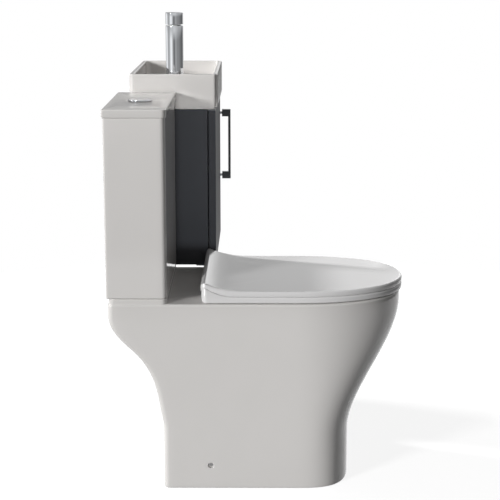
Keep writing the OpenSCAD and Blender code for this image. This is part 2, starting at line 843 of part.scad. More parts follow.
module cabinet_shelf() color("dimgray") place() {
    block([basin_back + back_t + 2, cabinet_y0 + board_t + 1, shelf_z],
        [carcass_front - 12, cabinet_y1 - board_t - 1, shelf_z + board_t]);
}

module shelf_pins() color("silver") place() {
    for (z = shelf_pin_z) for (x = shelf_pin_x) {
        rod_y([x, cabinet_y0 + board_t - 8, z], 2.5, 16);
        rod_y([x, cabinet_y1 - board_t - 8, z], 2.5, 16);
    }
}

module door() color("slategray") place() {
    difference() {
        block([door_x, cabinet_y0 + 0.5, door_z0], [door_front, cabinet_y1 - 0.5, door_z1]);
        rod([pivot_x, pivot_y, door_z0 - 1], pivot_r + run, 14);
        rod([pivot_x, pivot_y, door_z1 - 13], pivot_r + run, 14);
        for (z = screw_z) rod_x([door_x - 1, handle_y, z], 2.3, door_t + 2);
    }
}
buffer_z = [cabinet_z + 30, cabinet_top - 30];

// Thin plates over and under the door, screwed to the carcass
module door_pivot_plates() color("silver") place() {
    x0 = carcass_front - 28;
    for (z = [cabinet_z - pivot_t - gap, cabinet_top - pivot_t])
        difference() {
            block([x0, cabinet_y0 + 1, z], [pivot_x + 5, cabinet_y0 + 24, z + pivot_t]);
            rod([pivot_x, pivot_y, z - 1], pivot_r + run, pivot_t + 2);
        }
}

module door_pivot_pins() color("silver") place() {
    rod([pivot_x, pivot_y, cabinet_z - pivot_t - gap], pivot_r, 14);
    rod([pivot_x, pivot_y, cabinet_top - 14], pivot_r, 14);
}

module door_buffers() color("white") place() {
    for (z = buffer_z) rod_x([carcass_front + gap, cabinet_y1 - 8, z], 4, 1.4);
}

module handle() color("silver") place() {
    y0 = handle_y - handle_w / 2;
    y1 = handle_y + handle_w / 2;
    x1 = handle_x + handle_out;
    low = handle_top - handle_h;
    difference() {
        union() {
            block([x1 - handle_bar, y0, low], [x1, y1, handle_top]);
            block([handle_x, y0, handle_top - handle_leg], [x1, y1, handle_top]);
            block([handle_x, y0, low], [x1, y1, low + handle_leg]);
        }
        for (z = screw_z) rod_x([handle_x - 1, handle_y, z], 2 + run, 12);
    }
}

module handle_collars() color("silver") place() {
    for (z = screw_z) translate([door_front, handle_y, z]) rotate([0, 90, 0])
        tube([0, 0, 0], 3.4, 2 + run, handle_x - door_front);
}

module handle_screws() color("silver") place() {
    for (z = screw_z) {
        rod_x([door_x - 1.6, handle_y, z], 3.6, 1.6);
        rod_x([door_x - 1, handle_y, z], 2, handle_x - door_x + 10);
    }
}

// A plain trough with a sunk ledge for the tap at its near end
module basin() color("gainsboro") place() {
    low = [basin_back, vanity_y, basin_z];
    high = [basin_front, vanity_y + basin_w, basin_top];
    inner = [basin_back + basin_rim, vanity_y + basin_rim, 0];
    difference() {
        union() {
            slab(low, high, 9);
            slab([low.x + 6, low.y + 6, basin_z - foot_h], [high.x - 6, high.y - 6, basin_z + 1], 6);
        }
        slab([inner.x, inner.y, ledge_z], [high.x - basin_rim, high.y - basin_rim, basin_top + 5], 8);
        slab([inner.x, bowl_near, bowl_floor + 6],
            [high.x - basin_rim, high.y - basin_rim, basin_top + 5], 14);
        slab([inner.x + 8, bowl_near + 8, bowl_floor],
            [high.x - basin_rim - 8, high.y - basin_rim - 8, bowl_floor + 8], 14);
        rod([drain_x, drain_y, bowl_floor - 2.5], waste_flange_d / 2 + 1, 5);
        rod([drain_x, drain_y, basin_z - 10], drain_r, 60);
        slab([inner.x + 2, inner.y + 2, basin_z - foot_h - 1],
            [high.x - basin_rim - 2, bowl_near - 10, ledge_z - ledge_t], 6);
        rod([tap_x, tap_y, ledge_z - ledge_t - 1], 17.5, ledge_t + 2);
    }
}

module tap_body() color("silver") place() {
    difference() {
        union() {
            rod([tap_x, tap_y, tap_body_z], tap_d / 2, tap_body_top - tap_body_z);
            rod([tap_x, tap_y, ledge_z - 46], 16, 60);
        }
        rod([tap_x, tap_y, tap_body_top - 30], 15, 31);
        rod([tap_x, tap_y, ledge_z + 30], 9, tap_body_top - ledge_z - 55);
        rod_y([tap_x, tap_y, spout_z], 8, tap_d);
        for (s = [-1, 1]) rod([tap_x + s * 7.5, tap_y, ledge_z - 47], 4.9, 80);
    }
}

module tap_spout() color("silver") place() {
    tip = tap_y + spout_reach;
    start = tap_y + tap_d / 2 - 8;
    difference() {
        union() {
            rod_y([tap_x, start, spout_z], 8 - run, 9);
            rod_y([tap_x, tap_y + tap_d / 2 + 0.2, spout_z], 9, tip - tap_y - tap_d / 2 - 0.2);
            rod([tap_x, tip - 9, spout_z - 16], 9, 16);
            translate([tap_x, tip - 9, spout_z]) sphere(r = 9);
        }
        rod_y([tap_x, start - 1, spout_z], 5.5, tip - start - 9);
        rod([tap_x, tip - 9, spout_z - 17], 7, 17);
        rod_y([tap_x, tip, spout_z], 20, 20);
    }
}

module tap_aerator() color("silver") place() {
    y = tap_y + spout_reach - 9;
    difference() {
        rod([tap_x, y, spout_z - 17.5], 7 - run, 8);
        for (i = [0 : 5]) rod([tap_x + 4 * cos(60 * i), y + 4 * sin(60 * i), spout_z - 20], 1.2, 20);
    }
}

// The valve insert, with the spindle that the cap turns
module tap_cartridge() color("white") place() {
    low = tap_body_top - 29.7;
    rod([tap_x, tap_y, low], 15 - run, 31);
    rod([tap_x, tap_y, low + 30], 5, 16);
}

module tap_cap() color("silver") place() {
    low = tap_top - cap_h;
    difference() {
        rod([tap_x, tap_y, low], tap_d / 2, cap_h);
        rod([tap_x, tap_y, low - 1], 5 + run, 16);
        rod_y([tap_x, tap_y, tap_top - cap_h / 2], 3 + run, tap_d);
    }
}

module tap_lever() color("silver") place() {
    rod_y([tap_x, tap_y + 6, tap_top - cap_h / 2], 3, tap_d / 2 + lever_l - 6);
}

module tap_gasket() color("dimgray") place() {
    tube([tap_x, tap_y, ledge_z + gap], tap_d / 2 + 1, 16 + run, 2);
}

module tap_nut() color("goldenrod") place() {
    low = ledge_z - ledge_t;
    tube([tap_x, tap_y, low - 2.5 - gap], 24, 16 + run, 2.5);
    nut([tap_x, tap_y, low - 11.5 - gap], 23, 16 + run, 9);
}

// The flanged outlet of the basin, with the cross that guides the plug's stem
module waste_body() color("silver") place() {
    difference() {
        union() {
            rod([drain_x, drain_y, bowl_floor - 2.2], waste_flange_d / 2, 2.2);
            rod([drain_x, drain_y, bowl_floor - waste_l], tail_r, waste_l - 1);
        }
        rod([drain_x, drain_y, bowl_floor - 50], tail_r - 3.5, 55);
        rod([drain_x, drain_y, bowl_floor - waste_l - 1], tail_r - 5, 60);
    }
    difference() {
        block([drain_x - tail_r + 2.9, drain_y - 3, bowl_floor - 34],
            [drain_x + tail_r - 2.9, drain_y + 3, bowl_floor - 26]);
        rod([drain_x, drain_y, bowl_floor - 40], 2.5 + run, 20);
    }
}

module waste_nut() color("dimgray") place() {
    tube([drain_x, drain_y, basin_z - foot_h - 3 - gap], 33, tail_r + run, 3);
    nut([drain_x, drain_y, basin_z - foot_h - 13 - gap], 33, tail_r + run, 10);
}

module waste_plug() color("silver") place() {
    rod([drain_x, drain_y, bowl_floor + gap], waste_flange_d / 2 - 1.5, 3);
    rod([drain_x, drain_y, bowl_floor - 46], 2.5, 48);
}

trap_top = bowl_floor - waste_l - 4;

module trap_body() color("silver") place() {
    difference() {
        union() {
            rod([drain_x, drain_y, trap_top], trap_r - 1, 26);
            rod([drain_x, drain_y, waste_z - 30], trap_r, trap_top - waste_z + 34);
            rod_x([1, drain_y, waste_z], waste_r, drain_x - 10);
            rod_x([drain_x - trap_r - 15, drain_y, waste_z], waste_r + 4, 20);
        }
        rod([drain_x, drain_y, trap_top + 3], tail_r + run, 30);
        difference() {
            rod([drain_x, drain_y, waste_z - 31], trap_r - 3, trap_top - waste_z + 30);
            rod([drain_x, drain_y, waste_z - 18], trap_r - 11, 200);
        }
        rod([drain_x, drain_y, waste_z - 31], trap_r - 13.5, 200);
        rod_x([0, drain_y, waste_z], waste_r - 2, drain_x - 20);
    }
}

module trap_cup() color("silver") place() {
    difference() {
        rod([drain_x, drain_y, waste_z - 52], trap_r, 22 - gap);
        rod([drain_x, drain_y, waste_z - 48], trap_r - 4, 30);
    }
}

pan();
cistern_tank();
cistern_lid();
coupling_bolts();
coupling_washers();
coupling_nuts();
coupling_seal();
flush_valve_body();
flush_valve_nut();
flush_piston();
flush_seal();
fill_valve();
fill_valve_nut();
fill_float();
button_plate();
button_plate_nut();
flush_button_full();
flush_button_half();
flush_rod_full();
flush_rod_half();
seat_ring();
seat_lid();
seat_hinge_posts();
seat_hinge_pins();
seat_fixing_nuts();
ring_buffers();
lid_buffers();
wall_rail();
rail_nuts();
cabinet_hangers();
cabinet_near_side();
cabinet_far_side();
cabinet_bottom();
cabinet_top_rails();
cabinet_back();
cabinet_shelf();
shelf_pins();
door();
door_pivot_plates();
door_pivot_pins();
door_buffers();
handle();
handle_collars();
handle_screws();
basin();
tap_body();
tap_spout();
tap_aerator();
tap_cartridge();
tap_cap();
tap_lever();
tap_gasket();
tap_nut();
waste_body();
waste_nut();
waste_plug();
trap_body();
trap_cup();
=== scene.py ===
import json
import math

import bmesh
import bpy
import numpy as np
from mathutils import Matrix, Vector

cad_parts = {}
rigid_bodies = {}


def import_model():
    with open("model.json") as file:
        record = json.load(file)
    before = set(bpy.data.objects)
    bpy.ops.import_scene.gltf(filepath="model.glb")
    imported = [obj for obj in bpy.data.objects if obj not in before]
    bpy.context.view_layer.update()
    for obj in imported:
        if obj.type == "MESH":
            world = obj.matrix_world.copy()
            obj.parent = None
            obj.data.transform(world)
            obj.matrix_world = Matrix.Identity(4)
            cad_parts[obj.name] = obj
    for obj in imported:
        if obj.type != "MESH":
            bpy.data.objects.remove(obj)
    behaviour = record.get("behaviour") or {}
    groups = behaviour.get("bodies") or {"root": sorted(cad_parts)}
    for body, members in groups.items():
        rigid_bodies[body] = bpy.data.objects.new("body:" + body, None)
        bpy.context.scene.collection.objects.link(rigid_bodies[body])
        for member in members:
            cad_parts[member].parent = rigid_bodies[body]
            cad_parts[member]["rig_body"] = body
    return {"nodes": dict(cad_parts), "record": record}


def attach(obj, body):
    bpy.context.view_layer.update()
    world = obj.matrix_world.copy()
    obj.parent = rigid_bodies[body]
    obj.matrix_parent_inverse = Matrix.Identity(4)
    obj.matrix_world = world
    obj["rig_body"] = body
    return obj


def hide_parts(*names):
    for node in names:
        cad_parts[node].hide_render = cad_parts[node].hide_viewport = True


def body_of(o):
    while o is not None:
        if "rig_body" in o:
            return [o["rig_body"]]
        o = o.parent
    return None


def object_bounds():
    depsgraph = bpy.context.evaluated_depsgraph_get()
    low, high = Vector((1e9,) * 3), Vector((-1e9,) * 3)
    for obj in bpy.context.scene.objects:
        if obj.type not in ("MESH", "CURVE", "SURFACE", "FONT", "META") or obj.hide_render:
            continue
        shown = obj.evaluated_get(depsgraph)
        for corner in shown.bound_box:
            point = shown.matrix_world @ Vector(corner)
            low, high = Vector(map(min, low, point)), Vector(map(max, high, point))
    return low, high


# A combined vanity and toilet unit, dressed round its packed construction.
# Sizes are in millimetres, counted from the wall (x), the toilet's near side (y) and the floor (z).

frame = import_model()
cadBox = [list(point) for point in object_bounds()]
corner = np.array(cadBox[0])  # where the wall, the near side and the floor meet, in metres
print("frame loaded:", len(frame["nodes"]), "nodes")


def smoothStep(value, start, end):
    # an S from 0 to 1 between two limits: 3t² - 2t³
    t = np.clip((value - start) / (end - start), 0, 1)
    return t * t * (3 - 2 * t)


def arcPoints(x, y, radius, start, end, count):
    # points of a circle between two angles in degrees
    angle = np.radians(np.linspace(start, end, count))
    return np.stack([x + radius * np.cos(angle), y + radius * np.sin(angle)], -1)


def rectRings(x0, y0, x1, y1, radius, z, along=(14, 22), turn=8, wallRadius=None):
    # One round-cornered rectangle per row, anticlockwise: four straights, each with a quarter circle after it.
    # The two corners towards the wall may have a radius of their own.
    wallRadius = radius if wallRadius is None else wallRadius
    x0, y0, x1, y1, radius, wallRadius, z = [value[..., None] for value in np.broadcast_arrays(
        *[np.asarray(v, float) for v in (x0, y0, x1, y1, radius, wallRadius, z)])]
    sx, sy = np.linspace(0, 1, along[0])[1:-1], np.linspace(0, 1, along[1])[1:-1]
    a = np.radians(np.linspace(0, 90, turn + 1))
    wide, deep, c, s, same = x1 - x0 - radius - wallRadius, y1 - y0, np.cos(a), np.sin(a), 0 * radius
    x = [x0 + wallRadius + wide * sx, x1 - radius + radius * s, x1 + same * sy, x1 - radius + radius * c,
         x1 - radius - wide * sx, x0 + wallRadius - wallRadius * s, x0 + same * sy, x0 + wallRadius - wallRadius * c]
    y = [y0 + same * sx, y0 + radius - radius * c, y0 + radius + (deep - 2 * radius) * sy, y1 - radius + radius * s,
         y1 + same * sx, y1 - wallRadius + wallRadius * c, y1 - wallRadius - (deep - 2 * wallRadius) * sy,
         y0 + wallRadius - wallRadius * s]
    x, y = np.concatenate(x, -1), np.concatenate(y, -1)
    return np.stack([x, y, z + 0 * x], -1)


def slabRings(low, high, radius, topEdge, footEdge, steps=4, along=(14, 22), wallRadius=None):
    # An upright slab: its ring opens along a quarter circle at the foot and closes along one at the top.
    a = np.radians(np.linspace(0, 90, steps + 1))
    inset = np.concatenate([footEdge * (1 - np.sin(a)), topEdge * (1 - np.cos(a))])
    z = np.concatenate([low[2] + footEdge * (1 - np.cos(a)), high[2] - topEdge * (1 - np.sin(a))])
    return rectRings(low[0] + inset, low[1] + inset, high[0] - inset, high[1] - inset,
                     np.maximum(radius - inset, 0.4), z, along, 8,
                     None if wallRadius is None else np.maximum(wallRadius - inset, 0.4))


def latheRings(profile, x, y, steps=64):
    # a profile of radius and height, turned about an upright axis
    profile, angle = np.asarray(profile, float), np.linspace(0, 2 * np.pi, steps, endpoint=False)
    r, z = profile[:, :1], profile[:, 1:]
    return np.stack([x + r * np.cos(angle), y + r * np.sin(angle), z + 0 * angle], -1)


def roundedLine(points, radius, steps=4):
    # A line with its corners rounded: each corner gives way to a quadratic curve that starts and ends near it.
    points = np.asarray(points, float)
    before, at, after = points[:-2], points[1:-1], points[2:]
    reach = [np.linalg.norm(side - at, axis=1)[:, None] for side in (before, after)]
    start = at + (before - at) * np.minimum(radius / reach[0], 0.45)
    end = at + (after - at) * np.minimum(radius / reach[1], 0.45)
    t = np.linspace(0, 1, steps + 1)[None, :, None]
    curve = (1 - t) ** 2 * start[:, None] + 2 * t * (1 - t) * at[:, None] + t ** 2 * end[:, None]
    return np.concatenate([points[:1], curve.reshape(-1, 2), points[-1:]])


def tubeRings(path, radius, steps=40):
    # Circles carried along a path that bends in one plane: each is square to the path there.
    path, radius = np.asarray(path, float), np.broadcast_to(radius, len(path))
    ahead = np.gradient(path, axis=0)
    ahead /= np.linalg.norm(ahead, axis=1)[:, None]
    bend = np.cross(path[0] - path[-1], path[len(path) // 2] - path[0])
    across = bend / np.linalg.norm(bend) if np.linalg.norm(bend) > 1e-6 else np.array([1.0, 0, 0])
    up = np.cross(ahead, across)
    angle = np.linspace(0, 2 * np.pi, steps, endpoint=False)
    ring = np.cos(angle)[None, :, None] * across + np.sin(angle)[None, :, None] * up[:, None]
    return path[:, None] + radius[:, None, None] * ring


def addSurface(name, rings, loop=False, sharp=35):
    # Joins rings into a closed skin: four-sided faces between them, and a fan on the first and the last ring,
    # or a last strip back to the first where the rings run round. Its faces point outwards.
    rows, cols = rings.shape[:2]
    points = rings.reshape(-1, 3)
    i, j = np.arange(rows if loop else rows - 1)[:, None] * cols, np.arange(cols)[None]
    over, beside = (i + cols) % (rows * cols), (j + 1) % cols
    quads = np.stack([i + j, i + beside, over + beside, over + j], -1).reshape(-1, 4)
    fans = np.zeros((0, 3), int)
    if not loop:
        j, beside, last = np.arange(cols), (np.arange(cols) + 1) % cols, (rows - 1) * cols
        middle = np.full(cols, rows * cols)
        fans = np.concatenate([np.stack([middle, beside, j], -1), np.stack([middle + 1, last + j, last + beside], -1)])
        points = np.concatenate([points, [rings[0].mean(0), rings[-1].mean(0)]])
    a, b, c, d = [points[quads[:, k]] for k in range(4)]
    volume = np.sum(np.cross(a, b) * c) + np.sum(np.cross(a, c) * d)
    if len(fans):
        a, b, c = [points[fans[:, k]] for k in range(3)]
        volume += np.sum(np.cross(a, b) * c)
    if volume < 0:
        quads, fans = quads[:, ::-1], fans[:, ::-1]
    mesh = bpy.data.meshes.new(name)
    mesh.from_pydata((corner + points / 1000).tolist(), [], quads.tolist() + fans.tolist())
    return finishMesh(name, mesh, sharp)


def finishMesh(name, mesh, sharp):
    # shades a mesh smooth up to an angle, and puts it in the scene
    mesh.polygons.foreach_set("use_smooth", np.ones(len(mesh.polygons), bool))
    mesh.set_sharp_from_angle(angle=math.radians(sharp))
    mesh.update()
    piece = bpy.data.objects.new(name, mesh)
    bpy.context.scene.collection.objects.link(piece)
    return piece


def cutAway(piece, *cutters, sharp=35):
    # takes the cutters out of a piece for good
    for cutter in cutters:
        cut = piece.modifiers.new("cut", "BOOLEAN")
        cut.operation, cut.solver, cut.object = "DIFFERENCE", "EXACT", cutter
    mesh = bpy.data.meshes.new_from_object(piece.evaluated_get(bpy.context.evaluated_depsgraph_get()))
    name, rough = piece.name, piece.data
    for old in (piece, *cutters):
        bpy.data.objects.remove(old)
    bpy.data.meshes.remove(rough)
    mesh.name = name
    return finishMesh(name, mesh, sharp)


def softenedCopy(node, width, name, segments=3):
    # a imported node's own shape with its doubles merged, its flats cleared and a fine round on its edges
    mesh = frame["nodes"][node].data.copy()
    work = bmesh.new()
    work.from_mesh(mesh)
    bmesh.ops.remove_doubles(work, verts=work.verts, dist=2e-6)
    bmesh.ops.dissolve_limit(work, angle_limit=math.radians(0.6), verts=work.verts, edges=work.edges)
    work.to_mesh(mesh)
    work.free()
    mesh.materials.clear()
    piece = finishMesh(name, mesh, 35)
    bevel = piece.modifiers.new("edge", "BEVEL")
    bevel.width, bevel.segments, bevel.limit_method = width / 1000, segments, "ANGLE"
    bevel.angle_limit, bevel.harden_normals, bevel.use_clamp_overlap = math.radians(40), True, True
    return piece


# Every finish is found by the slot that its pieces name. The hex colours are as seen on a screen.

def fromHex(code):
    # sRGB to linear: divided by 12.92 near black, otherwise a power of 2.4
    values = np.array([int(code[k:k + 2], 16) for k in (1, 3, 5)]) / 255
    linear = np.where(values <= 0.04045, values / 12.92, ((values + 0.055) / 1.055) ** 2.4)
    return (*linear.tolist(), 1.0)


def addNode(tree, kind, inputs=None, **settings):
    # adds a node with its settings, and fills each input with a value or a link
    node = tree.nodes.new(kind)
    for key, value in settings.items():
        setattr(node, key, value)
    for key, value in (inputs or {}).items():
        if isinstance(value, bpy.types.NodeSocket):
            tree.links.new(value, node.inputs[key])
        else:
            node.inputs[key].default_value = value
    return node


def addFinish(name, base, other, roughness, sizes, bump, shader):
    # One finish: a cloudy mix of two near colours, a roughness that wanders between two values,
    # and a relief of two sizes in millimetres. A noise scale is 1000 over the size. The relief's heights are
    # 1/20 of the larger size and 1/8 of the smaller one, in metres.
    material = bpy.data.materials.new(name)
    material.use_nodes = True
    tree = material.node_tree
    tree.nodes.clear()
    place = addNode(tree, "ShaderNodeTexCoord").outputs["Object"]
    cloud = addNode(tree, "ShaderNodeTexNoise", {"Vector": place, "Scale": 1000 / sizes[0], "Detail": 3.0})
    grain = addNode(tree, "ShaderNodeTexNoise", {"Vector": place, "Scale": 1000 / sizes[1], "Detail": 2.0})
    colour = addNode(tree, "ShaderNodeMix", {"Factor": cloud.outputs["Fac"], "A": fromHex(base), "B": fromHex(other)},
                     data_type="RGBA")
    wander = addNode(tree, "ShaderNodeMapRange", {
        "Value": cloud.outputs["Fac"], "To Min": roughness[0], "To Max": roughness[1]})
    wave = addNode(tree, "ShaderNodeBump", {
        "Height": cloud.outputs["Fac"], "Strength": bump[0], "Distance": sizes[0] / 20000})
    relief = addNode(tree, "ShaderNodeBump", {"Height": grain.outputs["Fac"], "Strength": bump[1],
                                              "Distance": sizes[1] / 8000, "Normal": wave.outputs["Normal"]})
    surface = addNode(tree, "ShaderNodeBsdfPrincipled", {
        "Base Color": colour.outputs["Result"], "Roughness": wander.outputs["Result"],
        "Normal": relief.outputs["Normal"], **shader})
    addNode(tree, "ShaderNodeOutputMaterial", {"Surface": surface.outputs["BSDF"]})
    return material


finishes = {
    # vitreous china: slip cast and glazed, so it is glassy over a faint casting wave, and a little warmer in places
    "glazed_china": addFinish("Vitreous_China", "#dfdcda", "#dbd9d6", (0.10, 0.14), (90, 1.6), (0.06, 0.02),
                              {"IOR": 1.52, "Specular IOR Level": 0.42}),
    # lacquered MDF: sprayed grey, satin, with the spray's fine orange peel
    "grey_lacquer": addFinish("Lacquered_MDF", "#3f4146", "#3c3e42", (0.34, 0.42), (120, 1.1), (0.03, 0.10),
                              {"IOR": 1.5, "Specular IOR Level": 0.4}),
    # chromed brass: polished before plating, so it mirrors sharply over a trace of buffing
    "polished_chrome": addFinish("Chromed_Brass", "#dfe1e4", "#d6d9dd", (0.04, 0.08), (35, 0.8), (0.02, 0.01),
                                 {"Metallic": 1.0}),
    # the handle's chrome painted darker: a copy of the chrome whose darker colour is painted dark reflection, so it
    # mirrors like the chrome but much darker
    "chrome_painted_dark": addFinish("Chrome_Painted_Dark_Reflection", "#77797c", "#6c6e71", (0.06, 0.10), (30, 0.8), (0.02, 0.01),
                             {"Metallic": 1.0}),
    # chromed ABS: plated mouldings that mirror a little softer than brass
    "chromed_plastic": addFinish("Chromed_ABS", "#d3d6da", "#cbced3", (0.09, 0.14), (20, 0.9), (0.03, 0.02),
                                 {"Metallic": 1.0}),
    # zinc-plated steel: a soft grey shine with cloudy spangle
    "zinc_steel": addFinish("Zinc_Plated_Steel", "#a7aaae", "#8f9398", (0.28, 0.45), (12, 0.7), (0.05, 0.08),
                            {"Metallic": 1.0}),
    # brass: machined and left bare, dull yellow
    "brass": addFinish("Machined_Brass", "#c3a05a", "#a98745", (0.25, 0.38), (10, 0.6), (0.04, 0.08),
                       {"Metallic": 1.0}),
    # EPDM rubber: moulded, matt black with a slight bloom
    "black_rubber": addFinish("EPDM_Rubber", "#242526", "#2e2f30", (0.62, 0.78), (15, 0.9), (0.05, 0.12),
                              {"IOR": 1.5}),
    # thermoset seat plastic: pressed and polished, nearly as glossy as the glaze and whiter
    "seat_plastic": addFinish("Thermoset_Plastic", "#e3e2e2", "#e0dfdf", (0.14, 0.19), (140, 1.8), (0.05, 0.02),
                              {"IOR": 1.5, "Specular IOR Level": 0.45}),
    # polypropylene: moulded, milky and slightly waxy
    "white_plastic": addFinish("White_Polypropylene", "#d9dad7", "#d1d3d0", (0.36, 0.46), (18, 1.0), (0.05, 0.06),
                               {"IOR": 1.49}),
    # polypropylene in the blue that valve makers use for moving parts
    "blue_plastic": addFinish("Blue_Polypropylene", "#3f6f9f", "#386592", (0.34, 0.44), (18, 1.0), (0.05, 0.06),
                              {"IOR": 1.49}),
    # EVA buffers: soft, matt and off-white
    "soft_plastic": addFinish("Soft_EVA", "#c9cac8", "#c2c4c2", (0.55, 0.68), (9, 0.8), (0.05, 0.10), {"IOR": 1.48}),
}


def dress(piece, body, slot, *nodes):
    # gives a piece its finish and its body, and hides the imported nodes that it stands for
    piece.data.materials.clear()
    piece.data.materials.append(finishes[slot])
    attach(piece, body)
    if nodes:
        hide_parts(*nodes)


slotOf = {part["node"]: part["material_slot"] for part in frame["record"]["subparts"]}
print("finishes made:", len(finishes))

# The pan: a swept-in foot, a level deck and a round nose.
pan = {"rim": 407, "half": 180, "tip": 630, "footTip": 518, "footBack": 120, "deckBack": 6, "wall": 11,
       "ceiling": 393, "edge": 5, "rimEdge": 6, "noses": (390, 398), "powers": (3.4, 2.2), "cornerRadius": 12,
       # where each S curve starts and ends, as shares of the rim's height, and how far the back's one swings over
       "frontCurve": (0.253, 0.947), "backCurve": (0.334, 0.931), "backSwing": (0.361, 0.76), "swing": 0.94,
       "sideCurve": (0.4, 0.9), "widening": 5,
       "sumpX": 404, "sumpZ": 178, "sumpRadius": 42, "bowlBack": 262, "bowlLong": 326, "bowlHalf": 120, "bowlWall": 9,
       # how far the bowl's back draws in and from which share of its depth, and its front's and sides' powers
       "drawIn": 108, "drawFrom": 0.8, "frontPower": 1.6, "sidePower": 0.6,
       "backWindow": ((-10, 30, -10), (150, 330, 375)), "step": ((8, 2, 401), (130.3, 358, 417.7)),
       # the fixing holes, and how far in the foot's side is at their height
       "holeX": 220, "holeZ": 51, "holeRadius": 5.75, "holeFlare": 1.6, "sideY": 5,
       "inletX": 66, "ductZ": 363, "ductRadius": 31, "trapRadius": 37, "outletX": 122, "outletZ": 182}


def panRings(z, level, inset):
    # The pan's outline at each height: its back and tip sweep out along S curves, its sides widen a little,
    # and its nose is a superellipse, blunter at the foot than at the rim.
    z, level, inset = [v[..., None] for v in np.broadcast_arrays(*[np.asarray(k, float) for k in (z, level, inset)])]
    front, back, swing, side = [smoothStep(z, *(pan["rim"] * np.array(pan[curve])))
                                for curve in ("frontCurve", "backCurve", "backSwing", "sideCurve")]
    reach = (1 + pan["swing"]) * back - pan["swing"] * swing
    x0 = pan["footBack"] - (pan["footBack"] - pan["deckBack"]) * reach + inset
    half = pan["half"] - pan["widening"] * (1 - side) - inset
    tip = pan["footTip"] + (pan["tip"] - pan["footTip"]) * front - inset
    nose, power = [low + (high - low) * front for low, high in (pan["noses"], pan["powers"])]
    r = np.maximum(pan["cornerRadius"] - inset, 2)
    a = np.radians(np.linspace(-90, 90, 97))
    c, s = np.cos(a), np.sin(a)
    side, back, q = np.linspace(0, 1, 22)[1:-1], np.linspace(-1, 1, 18)[1:-1], np.radians(np.linspace(0, 90, 9))
    x = [nose + (tip - nose) * np.maximum(c, 0) ** (2 / power), nose + (x0 + r - nose) * side,
         x0 + r - r * np.sin(q), x0 + 0 * back, x0 + r - r * np.cos(q), x0 + r + (nose - x0 - r) * side]
    y = [half * np.sign(s) * np.abs(s) ** (2 / power), half + 0 * side,
         half - r + r * np.cos(q), -(half - r) * back, -(half - r) - r * np.sin(q), -half + 0 * side]
    x, y = np.concatenate(x, -1), np.concatenate(y, -1)
    return np.stack([x, pan["half"] + y, level + 0 * x], -1)


def bowlRings(z, level, grow, heading):
    # The bowl at each height: an ellipse whose back draws in towards the sump along an S curve, and its front and
    # sides by powers of the height. The sump ends in half a ball.
    z, level, grow = [v[..., None] for v in np.broadcast_arrays(*[np.asarray(k, float) for k in (z, level, grow)])]
    u = np.maximum(0, (z - pan["sumpZ"]) / (pan["rim"] - pan["sumpZ"]))
    back = pan["bowlBack"] + pan["drawIn"] * smoothStep(pan["drawFrom"] - u, 0, pan["drawFrom"])
    far = pan["bowlBack"] + pan["bowlLong"]
    front = far - (far - pan["sumpX"] - pan["sumpRadius"]) * np.maximum(0, 1 - u) ** pan["frontPower"]
    half = pan["sumpRadius"] + (pan["bowlHalf"] - pan["sumpRadius"]) * u ** pan["sidePower"]
    under = np.maximum(0, pan["sumpZ"] - z) / (pan["sumpRadius"] + grow)
    shrink = np.sqrt(np.maximum(0.0004, 1 - under ** 2))  # never quite closed, so that the last ring stays a ring
    x = (front + back) / 2 + ((front - back) / 2 + grow) * shrink * np.cos(heading)
    y = pan["half"] + (half + grow) * shrink * np.sin(heading)
    return np.stack([x, y, level + 0 * x], -1)


